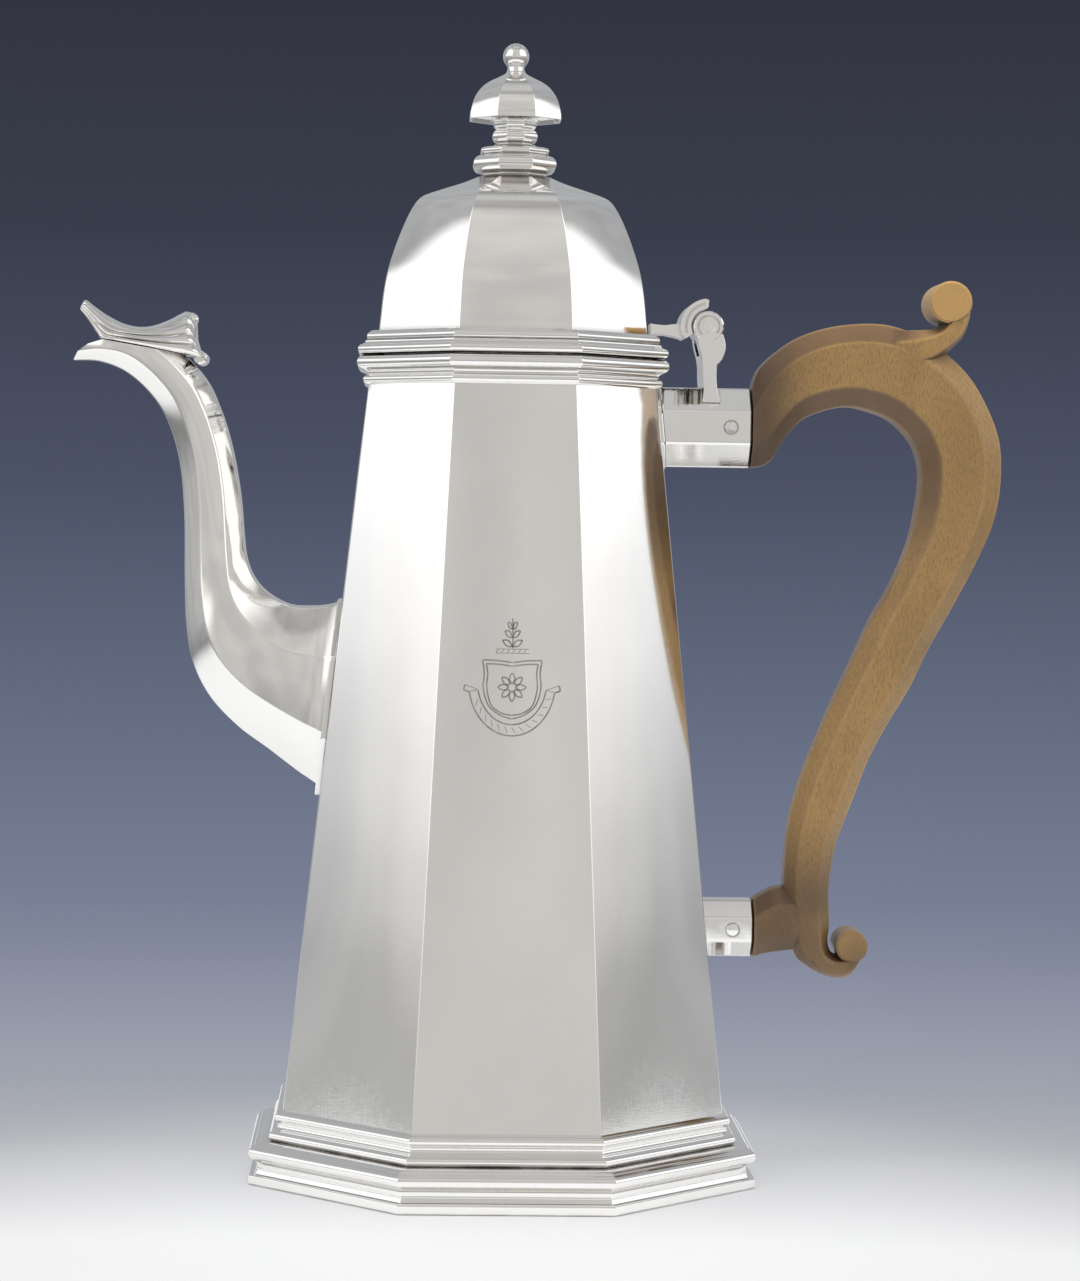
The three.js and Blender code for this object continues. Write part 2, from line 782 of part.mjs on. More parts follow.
function handle() {
  const curl = byUpper(44.5, 28.9);
  const tail = byLower(22.4, -4.4);
  const wood = toSolid(loft(sweptSections(gripStations(), 54)))
    .add(toSolid(loft(sweptSections(blockStations(), 6))))
    .add(toSolid(loft(sweptSections(thumbStations(), 8))))
    .add(toSolid(cylinderAlongY(curlRadius, handleThickness - 2, curl.x, curl.y, 20)))
    .add(toSolid(cylinderAlongY(tailRadius, handleThickness - 5, tail.x, tail.y, 16)))
    .add(tenon(upperSocketApothem, upperSocketReach, upperSocketZ, upperTenonLength))
    .add(tenon(lowerSocketApothem, lowerSocketReach, lowerSocketHeight, lowerTenonLength));
  return toGeometry(wood);
}

// ---------------------------------------------------------------- spout

// Stations along the spout: under point, upper point and half width, with X and Z counted
// from the middle of its root on the body's flat.
const spoutStations = [
  { under: [0, -22.8], upper: [4.2, 20.6], half: 13.5 },
  { under: [-3.5, -20.6], upper: [0.2, 20.4], half: 13.3 },
  { under: [-8.4, -17.3], upper: [-4.3, 19.1], half: 11.8 },
  { under: [-14.4, -12.8], upper: [-9.9, 19.4], half: 11.2 },
  { under: [-21.2, -7.9], upper: [-14.9, 22], half: 10.4 },
  { under: [-27.5, -1.4], upper: [-18.1, 25.6], half: 9.4 },
  { under: [-31.5, 6.2], upper: [-19.8, 30], half: 8.4 },
  { under: [-33.1, 14.7], upper: [-20.5, 35.4], half: 7.4 },
  { under: [-33.6, 24.7], upper: [-20.9, 40.2], half: 6.7 },
  { under: [-33.9, 39.7], upper: [-21.6, 45.7], half: 6.3 },
  { under: [-35.1, 51.5], upper: [-23.2, 54], half: 6.2 },
  { under: [-37.9, 60.5], upper: [-25.9, 62.7], half: 6.3 },
  { under: [-41.9, 66.6], upper: [-30.4, 71.1], half: 6.6 },
  { under: [-47.4, 71.3], upper: [-41, 80.4], half: 6.8 },
  { under: [-53.4, 73.5], upper: [-51, 81.4], half: 6 },
  { under: [-59, 73.6], upper: [-59.2, 79], half: 3.4 },
];

const spoutRootX = -bodyApothem(spoutRootZ);
const spoutPoint = ([x, z]) => new THREE.Vector2(spoutRootX + x, spoutRootZ + z);

// The spout's outside, or with an inset its bore. Its sections run from the lip to the root,
// so that the faces point out.
function spoutLoft(inset) {
  const stations = spoutStations.map((s) => ({
    under: spoutPoint(s.under),
    upper: spoutPoint(s.upper),
    half: s.half,
  }));
  return loft(sweptSections(stations, 30, inset).reverse());
}

function spoutBore() {
  return toSolid(spoutLoft(spoutWall));
}

// The line where the mouth of the spout is cut: level under the bill, then down the lip.
const mouthBack = [-27, 73.8];
const mouthNotch = [-52.3, 78.1];

function mouthCutter() {
  const points = [mouthBack, mouthNotch, [-55.6, 77.1], [-57.9, 75.5], [-59.1, 73.6], [-63, 73.6]];
  points.push([-63, 95], [-27, 95]);
  const side = points.map(spoutPoint).map((p) => [p.x, p.y]);
  return toSolid(sidePlate(polygon(side), 40));
}

function spoutShell() {
  const shell = toSolid(spoutLoft(0))
    .subtract(spoutBore())
    .subtract(mouthCutter())
    .subtract(bodyCutter(2 * cutGap + flangeThickness));
  return toGeometry(shell);
}

// A thin plate between the spout's root and the body, of the root's own outline.
function spoutFlange() {
  const flange = toSolid(spoutLoft(0))
    .subtract(spoutBore())
    .intersect(bodyCutter(cutGap + flangeThickness))
    .subtract(bodyCutter(cutGap));
  return toGeometry(flange);
}

// The bill over the mouth: a saddle seen from the side, a leaf seen from above.
function spoutBill() {
  const lift = cutGap;
  const side = new THREE.Shape();
  const start = spoutPoint([-29.4, 74.3 + lift]);
  const notch = spoutPoint([-52.3, 78.1 + lift]);
  const tip = spoutPoint([-56.6, 87.1]);
  side.moveTo(start.x, start.y);
  side.lineTo(notch.x, notch.y);
  side.lineTo(spoutPoint([-57.7, 84.4]).x, spoutPoint([-57.7, 84.4]).y);
  side.lineTo(tip.x, tip.y);
  side.splineThru([[-52.1, 84], [-48.4, 82.1], [-44.8, 81.3], [-41.5, 81.5]].map(spoutPoint));
  side.splineThru([[-38, 82.8], [-33.9, 84.9]].map(spoutPoint));
  side.splineThru([[-31.5, 82.4], [-31.4, 78.6], [-30.4, 76.2]].map(spoutPoint));
  side.lineTo(start.x, start.y);

  const plan = new THREE.Shape();
  const rim = [[-28, 6.6], [-34, 7.8], [-44, 7.2], [-52, 5.4], [-58, 2.4]];
  const ends = rim.map(([x, y]) => new THREE.Vector2(spoutRootX + x, y));
  plan.moveTo(ends[0].x, ends[0].y);
  plan.splineThru(ends.slice(1));
  plan.lineTo(ends[4].x, -ends[4].y);
  plan.splineThru(ends.slice(0, 4).reverse().map((p) => new THREE.Vector2(p.x, -p.y)));
  const leaf = new THREE.ExtrudeGeometry(plan, { depth: 60, bevelEnabled: false, curveSegments: 3 });
  leaf.translate(0, 0, brim - 30);

  const bill = toSolid(sidePlate(side, 30, { curveSegments: 3 }))
    .intersect(toSolid(leaf))
    .subtract(spoutBore());
  return toGeometry(bill);
}

// ---------------------------------------------------------------- assembly

addPart(pot, 'foot_rim', footRim(), silver);
addPart(pot, 'foot_skirt', footSkirt(), silver);
addPart(pot, 'foot_moulding', footMoulding(), silver);
addPart(pot, 'base_plate', basePlate(), silverInside);
addPart(pot, 'body_shell', bodyShell(), silver);
addPart(pot, 'body_rim_moulding', bodyRim(), silver);
addPart(pot, 'spout_flange', spoutFlange(), silver);
addPart(pot, 'spout_shell', spoutShell(), silver);
addPart(pot, 'spout_bill', spoutBill(), silver);
const upperPlate = socketPlate(upperSocketApothem, upperSocketZ);
const upperStandOff = 2 * cutGap + socketPlateThickness;
const upperSocket = socket(upperSocketApothem, upperSocketReach, upperSocketZ, upperStandOff);
const lowerSocket = socket(lowerSocketApothem, lowerSocketReach, lowerSocketHeight, cutGap);
const upperPin = socketPin(upperSocketApothem, upperSocketReach, upperSocketZ);
const lowerPin = socketPin(lowerSocketApothem, lowerSocketReach, lowerSocketHeight);
addPart(pot, 'upper_socket_plate', upperPlate, silver);
addPart(pot, 'upper_handle_socket', upperSocket, silver);
addPart(pot, 'lower_handle_socket', lowerSocket, silver);
addPart(pot, 'upper_handle_pin', upperPin, silver);
addPart(pot, 'lower_handle_pin', lowerPin, silver);
addPart(pot, 'handle', handle(), boxwood);
addPart(pot, 'hinge_post', hingePost(), silver);
addPart(pot, 'hinge_pin', hingePin(), silver);

addPart(lid, 'lid_rim_moulding', lidRim(), silver);
addPart(lid, 'lid_step_moulding', lidStep(), silver);
addPart(lid, 'lid_dome', lidDome(), silver);
addPart(lid, 'lid_bezel', lidBezel(), silverInside);
addPart(lid, 'lid_hinge_arm', lidArm(), silver);
addPart(lid, 'finial_collar', finialCollar(), silver);
addPart(lid, 'finial_stem', finialStem(), silver);
addPart(lid, 'finial_bell', finialBell(), silver);
addPart(lid, 'finial_stud', finialStud(), silverInside);
addPart(lid, 'finial_washer', finialWasher(), silverInside);
addPart(lid, 'finial_nut', finialNut(), silverInside);

// The origin is the middle of the whole pot's box on the table, so the pot's own axis
// stands a little to the spout's side of it.
const box = new THREE.Box3().setFromObject(pot);
pot.position.x = -(box.min.x + box.max.x) / 2;

export default pot;
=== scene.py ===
"""An eight-sided silver coffee pot with a hinged lid and a scrolled wooden handle."""

import math

import bmesh
import bpy
import numpy as np
from mathutils import Matrix, Vector


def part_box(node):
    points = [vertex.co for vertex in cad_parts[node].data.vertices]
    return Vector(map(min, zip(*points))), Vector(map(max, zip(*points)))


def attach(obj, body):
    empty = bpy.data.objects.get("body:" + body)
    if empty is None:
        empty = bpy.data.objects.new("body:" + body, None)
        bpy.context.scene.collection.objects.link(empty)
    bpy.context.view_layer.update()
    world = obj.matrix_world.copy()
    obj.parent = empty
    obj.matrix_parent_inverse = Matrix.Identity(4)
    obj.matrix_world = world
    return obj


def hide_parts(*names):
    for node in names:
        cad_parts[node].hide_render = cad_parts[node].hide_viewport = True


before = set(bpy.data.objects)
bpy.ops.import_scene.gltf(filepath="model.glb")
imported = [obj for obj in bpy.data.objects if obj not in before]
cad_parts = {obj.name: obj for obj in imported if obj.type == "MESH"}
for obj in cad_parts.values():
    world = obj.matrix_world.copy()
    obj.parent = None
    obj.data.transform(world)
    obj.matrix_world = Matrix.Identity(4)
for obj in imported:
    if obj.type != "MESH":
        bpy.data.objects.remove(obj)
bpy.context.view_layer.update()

bl_info = {
    "name": "Octagonal Coffee Pot",
    "version": (1, 0, 0),
    "blender": (4, 5, 0),
    "location": "3D View > Sidebar > Coffee Pot",
    "description": "Builds the silver, the wood and the studio around a coffee pot's frame",
    "category": "Object",
}

# ------------------------------------------------------------------ places in the frame

MM = 0.001
WELD = 0.003 * MM  # points closer than this are one
TINY = 1e-6
MOST_CUT = 0.45  # the most of a side that the rounding of one corner takes
FLATS = 8
HALF_FLAT = math.pi / FLATS
FLAT_SHARE = math.tan(HALF_FLAT)
MAIN_CROWN = 0.4  # how much of the crown the front, back and end flats have
FOOT_FADE = 45  # the length, mm, over which the body's crown comes in above the foot
BRIM_FADE = 20  # the length, mm, over which it goes down again to the brim
BRIM_CROWN = 0.5  # how much of it is left at the brim


def low(node):
    """The lowest corner of a frame node, in millimetres."""
    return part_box(node)[0] / MM


def high(node):
    """The highest corner of a frame node, in millimetres."""
    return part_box(node)[1] / MM


def apothem_of(node):
    """Half the width across the flats of an octagonal frame node, in millimetres."""
    return high(node).y


def middle(node):
    return (low(node) + high(node)) / 2


AXIS_X = middle("finial_bell").x
BODY_LOW = low("body_shell").z
BRIM = high("body_shell").z
FOOT_TOP = high("foot_moulding").z
BODY_FOOT_APOTHEM = apothem_of("body_shell")
BODY_SPAN = 167  # the height, mm, over which the body narrows by BODY_NARROWING
BODY_NARROWING = 17.4
BODY_TAPER = BODY_NARROWING / BODY_SPAN
DOME_FOOT = high("lid_step_moulding").z
DOME_APOTHEM = apothem_of("lid_dome")
HINGE = middle("hinge_pin")
HINGE.x -= AXIS_X
UPPER_SOCKET_END = high("upper_handle_socket").x - AXIS_X
LOWER_SOCKET_END = high("lower_handle_socket").x - AXIS_X
UPPER_SOCKET_Z = middle("upper_handle_pin").z
LOWER_SOCKET_Z = middle("lower_handle_pin").z
SPOUT_ROOT_DROP = 75.2  # from the brim down to the middle of the spout's root
SPOUT_ROOT_Z = BRIM - SPOUT_ROOT_DROP


def body_apothem(z):
    """The body's outside, measured square to a flat, at height z."""
    return BODY_FOOT_APOTHEM - BODY_TAPER * (z - BODY_LOW)


# ------------------------------------------------------------------ sizes and finishes


class PotSizes(bpy.types.PropertyGroup):
    """Sizes that the maker can change without touching the frame."""

    arris: bpy.props.FloatProperty(
        name="Arris rounding", description="Radius of the body's upright edges, mm",
        default=0.55, min=0.1, max=2,
    )
    moulding_arris: bpy.props.FloatProperty(
        name="Moulding arris", description="Radius of the mitred corners of the mouldings, mm",
        default=0.4, min=0.1, max=2,
    )
    body_crown: bpy.props.FloatProperty(
        name="Body crown", description="How far the body's flats swell, as a share of their half width",
        default=0.054, min=0, max=0.1,
    )
    dome_crown: bpy.props.FloatProperty(
        name="Dome crown", description="How far the dome's flats swell, as a share of their half width",
        default=0.05, min=0, max=0.1,
    )
    wood_edge: bpy.props.FloatProperty(
        name="Wood edge", description="Cut back of the handle's carved edges, mm", default=0.7, min=0.1, max=2
    )
    spout_edge: bpy.props.FloatProperty(
        name="Spout edge", description="Cut back of the spout's arrises, mm", default=0.55, min=0.1, max=2
    )
    cut_width: bpy.props.FloatProperty(
        name="Engraving width", description="Width of an engraved line, mm", default=0.36, min=0.05, max=1
    )


class PotFinish(bpy.types.PropertyGroup):
    """Colours and polish of the metal and the wood."""

    silver: bpy.props.FloatVectorProperty(
        name="Silver", description="Colour of polished silver", subtype="COLOR", size=3,
        default=(0.93, 0.92, 0.9),
    )
    tarnish: bpy.props.FloatVectorProperty(
        name="Tarnish", description="Colour left in the corners", subtype="COLOR", size=3,
        default=(0.36, 0.34, 0.32),
    )
    polish: bpy.props.FloatProperty(
        name="Polish", description="Roughness of the polished silver", subtype="FACTOR",
        default=0.07, min=0, max=1,
    )
    wood_light: bpy.props.FloatVectorProperty(
        name="Light wood", description="Worn, pale parts of the handle", subtype="COLOR", size=3,
        default=(0.37, 0.222, 0.075),
    )
    # Dark wood also gives the painted shade on the handle's inward and upward faces and in its corners.
    wood_dark: bpy.props.FloatVectorProperty(
        name="Dark wood", description="Pores and handled parts", subtype="COLOR", size=3,
        default=(0.1, 0.055, 0.03),
    )
    wood_polish: bpy.props.FloatProperty(
        name="Wood polish", description="Roughness of the waxed wood", subtype="FACTOR",
        default=0.4, min=0, max=1,
    )


class StudioSettings(bpy.types.PropertyGroup):
    """Floor, light and camera."""

    floor: bpy.props.FloatVectorProperty(
        name="Floor", description="Colour of the floor", subtype="COLOR", size=3, default=(0.86, 0.87, 0.88)
    )
    overhead: bpy.props.FloatProperty(
        name="Overhead light", description="Strength of the large lamp above", unit="POWER",
        default=9, min=0, max=200,
    )
    lens: bpy.props.FloatProperty(name="Lens", description="Focal length, mm", default=99.2, min=20, max=300)


def sizes():
    return bpy.context.scene.pot_sizes


def finish():
    return bpy.context.scene.pot_finish


def eased(share):
    """A share between 0 and 1, with a soft start and a soft end."""
    share = max(0, min(1, share))
    return share * share * (3 - 2 * share)


def body_crown(z):
    """How far the body's flats swell at height z, so that they stay inside both mouldings."""
    above = eased((z - FOOT_TOP) / FOOT_FADE)
    below = eased((low("body_rim_moulding").z - z) / BRIM_FADE)
    return sizes().body_crown * above * (BRIM_CROWN + (1 - BRIM_CROWN) * below)


# ------------------------------------------------------------------ lines and sections


def outline(entries, steps=9):
    """An outline of (across, up, bulge) entries; a bulge is the height of the round stretch
    that leads to its point, to the right of the way there."""
    points = []
    for entry in entries:
        end = Vector(entry[:2])
        bulge = entry[2] if len(entry) > 2 else 0
        if bulge:
            start = points[-1]
            half = (end - start).length / 2
            along = (end - start).normalized()
            right = Vector((along.y, -along.x))
            radius = (half * half + bulge * bulge) / (2 * bulge)
            centre = (start + end) / 2 + right * (bulge - radius)
            sweep = math.asin(min(1, half / abs(radius)))
            for i in range(1, steps):
                turn = -sweep + 2 * sweep * i / steps
                points.append(centre + right * radius * math.cos(turn) + along * abs(radius) * math.sin(turn))
        points.append(end)
    return points


def rounded_line(points, steps):
    """A smooth line through points of any dimension, with so many steps between two of them."""
    points = np.array(points, float)
    line = []
    last = len(points) - 1
    for i in range(last):
        a, b = points[max(i - 1, 0)], points[i]
        c, d = points[i + 1], points[min(i + 2, last)]
        for s in range(steps):
            t = s / steps
            line.append(
                b + 0.5 * t * (c - a + t * (2 * a - 5 * b + 4 * c - d + t * (3 * (b - c) + d - a)))
            )
    line.append(points[-1])
    return line


def octagon_ring(apothem, z, arris, crown=0.0, across=4, arc=3):
    """One level of an octagonal piece: eight flats, slightly crowned, with rounded corners."""
    radius = min(arris, apothem * 0.96)
    half = (apothem - radius) * FLAT_SHARE
    ring = []
    for flat in range(FLATS):
        turn = flat * 2 * HALF_FLAT
        out = Vector((math.cos(turn), math.sin(turn), 0))
        side = Vector((-math.sin(turn), math.cos(turn), 0))
        swollen = crown * (1 if flat % 2 else MAIN_CROWN)
        for i in range(across + 1):
            share = 2 * i / across - 1
            swell = swollen * half * (1 - share * share)
            ring.append(out * (apothem + swell) + side * half * share + Vector((0, 0, z)))
        corner = turn + HALF_FLAT
        hub = Vector((math.cos(corner), math.sin(corner), 0)) * (apothem - radius) / math.cos(HALF_FLAT)
        for i in range(1, arc):
            angle = turn + 2 * HALF_FLAT * i / arc
            ring.append(hub + Vector((math.cos(angle), math.sin(angle), 0)) * radius + Vector((0, 0, z)))
    return ring


def octagon_along_x(x, apothem, z):
    """The corners of a regular octagon that faces along X, about the line at height z."""
    corner = apothem / math.cos(HALF_FLAT)
    turns = [HALF_FLAT + i * 2 * HALF_FLAT for i in range(FLATS)]
    return [Vector((x, corner * math.cos(t), z + corner * math.sin(t))) for t in turns]


def eight_sided(under, upper, half, flat=FLAT_SHARE):
    """The corners of a section between an under and an upper point (x, z)."""
    under, upper = Vector(under), Vector(upper)
    centre, rise = (under + upper) / 2, (upper - under) / 2
    corners = [(-flat, -1), (flat, -1), (1, -flat), (1, flat), (flat, 1), (-flat, 1), (-1, flat), (-1, -flat)]
    return [Vector(((centre + rise * up).x, across * half, (centre + rise * up).y)) for across, up in corners]


def cut_share(side, cut):
    """How much of a side a corner's rounding takes, less than half of it."""
    return min(MOST_CUT, cut / max(side.length, TINY))


def round_corner(corners, i, cut, steps=3):
    """The points of corner i of a closed row, rounded."""
    corner = corners[i]
    before, after = corners[i - 1] - corner, corners[(i + 1) % len(corners)] - corner
    a = corner + before * cut_share(before, cut)
    b = corner + after * cut_share(after, cut)
    shares = [s / steps for s in range(steps + 1)]
    return [a * (1 - t) ** 2 + corner * 2 * t * (1 - t) + b * t * t for t in shares]


def soften(corners, cut):
    """A closed row of corners with each corner rounded."""
    return [p for i in range(len(corners)) for p in round_corner(corners, i, cut)]


def faceted(corners, cut, crown, across=4):
    """A closed row of corners with rounded corners and slightly swollen sides."""
    count = len(corners)
    centre = sum(corners, Vector()) / count
    ring = []
    for i, corner in enumerate(corners):
        ring += round_corner(corners, i, cut)
        after = corners[(i + 1) % count] - corner
        b = corner + after * cut_share(after, cut)
        end = corners[(i + 1) % count] - after * cut_share(after, cut)
        out = (b + end) / 2 - centre
        out -= after.normalized() * out.dot(after.normalized())
        for s in range(1, across):
            t = s / across
            ring.append(b.lerp(end, t) + out.normalized() * 4 * t * (1 - t) * crown * after.length)
    return ring


# ------------------------------------------------------------------ meshes


def skin(rings, closed=False, capped=True):
    """Points and faces of a row of rings: a tube with ends, or a closed loop of rings."""
    count = len(rings[0])
    points = [p for ring in rings for p in ring]
    faces = []
    pairs = len(rings) if closed else len(rings) - 1
    for r in range(pairs):
        here, there = r * count, ((r + 1) % len(rings)) * count
        for i in range(count):
            j = (i + 1) % count
            faces.append((here + i, here + j, there + j, there + i))
    if not closed and capped:
        faces.append(tuple(range(count)))
        faces.append(tuple(range((len(rings) - 1) * count, len(rings) * count)))
    return points, faces


def solid(name, shape):
    """A closed mesh object from points and faces in millimetres about the pot's axis."""
    points, faces = shape
    mesh = bpy.data.meshes.new(name)
    mesh.from_pydata([((p[0] + AXIS_X) * MM, p[1] * MM, p[2] * MM) for p in points], [], faces)
    work = bmesh.new()
    work.from_mesh(mesh)
    bmesh.ops.remove_doubles(work, verts=work.verts, dist=0.002 * MM)
    bmesh.ops.dissolve_degenerate(work, dist=0.002 * MM, edges=work.edges)
    bmesh.ops.recalc_face_normals(work, faces=work.faces)
    work.to_mesh(mesh)
    work.free()
    piece = bpy.data.objects.new(name, mesh)
    bpy.context.scene.collection.objects.link(piece)
    return piece


def settle(piece):
    """Applies a piece's modifiers to its mesh."""
    view = bpy.context.evaluated_depsgraph_get()
    mesh = bpy.data.meshes.new_from_object(piece.evaluated_get(view))
    old = piece.data
    piece.modifiers.clear()
    piece.data = mesh
    bpy.data.meshes.remove(old)
    return piece


def weld(mesh):
    """Joins points that lie on one another and drops the faces that this leaves without area."""
    work = bmesh.new()
    work.from_mesh(mesh)
    bmesh.ops.remove_doubles(work, verts=work.verts, dist=WELD)
    bmesh.ops.dissolve_degenerate(work, dist=WELD, edges=work.edges)
    work.to_mesh(mesh)
    work.free()


def combine(piece, tool, operation):
    """Joins a tool to a piece, or cuts it away, and uses the tool up."""
    step = piece.modifiers.new("combine", "BOOLEAN")
    step.operation = operation
    step.object = tool
    step.solver = "EXACT"
    settle(piece)
    bpy.data.objects.remove(tool)
    weld(piece.data)
    return piece


def soft_edges(piece, width, segments=2, angle=30):
    step = piece.modifiers.new("edges", "BEVEL")
    step.width = width * MM
    step.segments = segments
    step.limit_method = "ANGLE"
    step.angle_limit = math.radians(angle)
    step.harden_normals = False
    return settle(piece)


def hand_over(piece, material, body, slot, *nodes, crease=32):
    """Finishes a piece: material, shading, the body it rides on and the nodes it stands for."""
    mesh = piece.data
    mesh.materials.clear()
    mesh.materials.append(material)
    mesh.shade_smooth()
    mesh.set_sharp_from_angle(angle=math.radians(crease))
    step = piece.modifiers.new("true_flats", "WEIGHTED_NORMAL")
    step.keep_sharp = True
    step.weight = 60
    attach(piece, body)
    if nodes:
        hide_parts(*nodes)
    return piece


def octagonal(name, points, arris, crown=0.0, across=4):
    """An octagonal piece about the pot's axis, from its closed outline of (apothem, height)."""
    rings = [octagon_ring(apothem, z, arris, crown, across) for apothem, z in points]
    return solid(name, skin(rings, closed=True))


def side_plate(name, points, width, centre_y=0.0):
    """A closed outline of (x, z) points made thick along Y."""
    rings = [[Vector((x, centre_y + side * width / 2, z)) for x, z in points] for side in (-1, 1)]
    return solid(name, skin(rings))


def circles_along_y(entries, x, z, segments):
    """Circles about a line along Y, one for each (radius, y) entry."""
    turns = [2 * math.pi * i / segments for i in range(segments)]
    return [[Vector((x + r * math.cos(t), y, z + r * math.sin(t))) for t in turns] for r, y in entries]


def turned_along_y(name, entries, x, z, segments=48):
    """A round piece about a line along Y, from (radius, y) entries that close on the line."""
    entries = [(max(radius, 0.001), y) for radius, y in entries]
    return solid(name, skin(circles_along_y(entries, x, z, segments)))


# ------------------------------------------------------------------ materials


class Nodes:
    """A short way to write a node tree."""

    def __init__(self, tree):
        self.tree = tree
        tree.nodes.clear()

    def add(self, kind, inputs=None, **settings):
        node = self.tree.nodes.new(kind)
        for key, value in settings.items():
            setattr(node, key, value)
        for key, value in (inputs or {}).items():
            self.feed(node.inputs[key], value)
        return node

    def feed(self, socket, value):
        if isinstance(value, bpy.types.NodeSocket):
            self.tree.links.new(value, socket)
        else:
            socket.default_value = value

    def math(self, operation, a, b=0.0):
        return self.add("ShaderNodeMath", {0: a, 1: b}, operation=operation).outputs[0]

    def ramp(self, value, start, end, low_value=0.0, high_value=1.0, smooth=True):
        kind = "SMOOTHSTEP" if smooth else "LINEAR"
        inputs = {"Value": value, 1: start, 2: end, 3: low_value, 4: high_value}
        return self.add("ShaderNodeMapRange", inputs, interpolation_type=kind).outputs[0]

    def mix(self, factor, a, b):
        node = self.add("ShaderNodeMix", data_type="RGBA")
        self.feed(node.inputs[0], factor)
        self.feed(node.inputs[6], a)
        self.feed(node.inputs[7], b)
        return node.outputs[2]

    def noise(self, vector, scale, detail=2.0, roughness=0.5):
        inputs = {"Vector": vector, "Scale": scale, "Detail": detail, "Roughness": roughness}
        return self.add("ShaderNodeTexNoise", inputs).outputs["Fac"]

    def stretched(self, vector, scale, rotation=(0, 0, 0)):
        inputs = {"Vector": vector, "Scale": scale, "Rotation": rotation}
        return self.add("ShaderNodeMapping", inputs).outputs[0]


def rgba(colour):
    return (*colour, 1.0)


def new_material(name):
    material = bpy.data.materials.new(name)
    material.use_nodes = True
    return material, Nodes(material.node_tree)


def silver_material(name, polish, corner_dirt=0.75, waves=1.0):
    """Polished silver: slow waves from the hammer, hairline wear and tarnish left in the corners."""
    material, nodes = new_material(name)
    look = finish()
    place = nodes.add("ShaderNodeTexCoord").outputs["Object"]
    shade = nodes.noise(place, 45, 4, 0.6)
    corner = nodes.add("ShaderNodeAmbientOcclusion", {"Distance": 2 * MM}, samples=6).outputs["AO"]
    dirt = nodes.math("MULTIPLY", nodes.ramp(corner, 0.75, 0.25), corner_dirt)
    dirt = nodes.math("MULTIPLY", dirt, nodes.ramp(nodes.noise(place, 160, 3, 0.6), 0.3, 0.7, 0.5, 1.0))
    greyer = [c * 0.97 for c in look.silver]
    clean = nodes.mix(nodes.ramp(shade, 0.3, 0.7), rgba(greyer), rgba(look.silver))
    colour = nodes.mix(dirt, clean, rgba(look.tarnish))
    hair = nodes.noise(nodes.stretched(place, (1, 1, 14), (0.4, 0.2, 0)), 420, 2, 0.6)
    hair_two = nodes.noise(nodes.stretched(place, (12, 1, 1), (0, 0.5, 0.3)), 380, 2, 0.6)
    rough = nodes.ramp(nodes.math("ADD", hair, hair_two), 0.8, 1.3, polish * 0.7, polish * 1.5)
    rough = nodes.math("ADD", rough, nodes.math("MULTIPLY", dirt, 0.25))
    wave = nodes.noise(place, 24, 1, 0.4)
    bump = nodes.add("ShaderNodeBump", {"Strength": 0.35 * waves, "Distance": 0.5 * MM, "Height": wave})
    fine = nodes.add(
        "ShaderNodeBump",
        {"Strength": 0.02, "Distance": 0.1 * MM, "Height": hair, "Normal": bump.outputs[0]},
    )
    shader = nodes.add(
        "ShaderNodeBsdfPrincipled",
        {"Base Color": colour, "Metallic": 1.0, "Roughness": rough, "Normal": fine.outputs[0]},
    )
    nodes.add("ShaderNodeOutputMaterial", {"Surface": shader.outputs[0]})
    return material


def cut_material(name):
    """Engraved lines: silver gone dull and dark in the cuts."""
    material, nodes = new_material(name)
    place = nodes.add("ShaderNodeTexCoord").outputs["Object"]
    patchy = nodes.ramp(nodes.noise(place, 420, 3, 0.6), 0.3, 0.7)
    dark = [c * 0.65 for c in finish().tarnish]
    colour = nodes.mix(patchy, rgba(dark), rgba(finish().tarnish))
    shader = nodes.add("ShaderNodeBsdfPrincipled", {"Base Color": colour, "Metallic": 0.6, "Roughness": 0.5})
    nodes.add("ShaderNodeOutputMaterial", {"Surface": shader.outputs[0]})
    return material


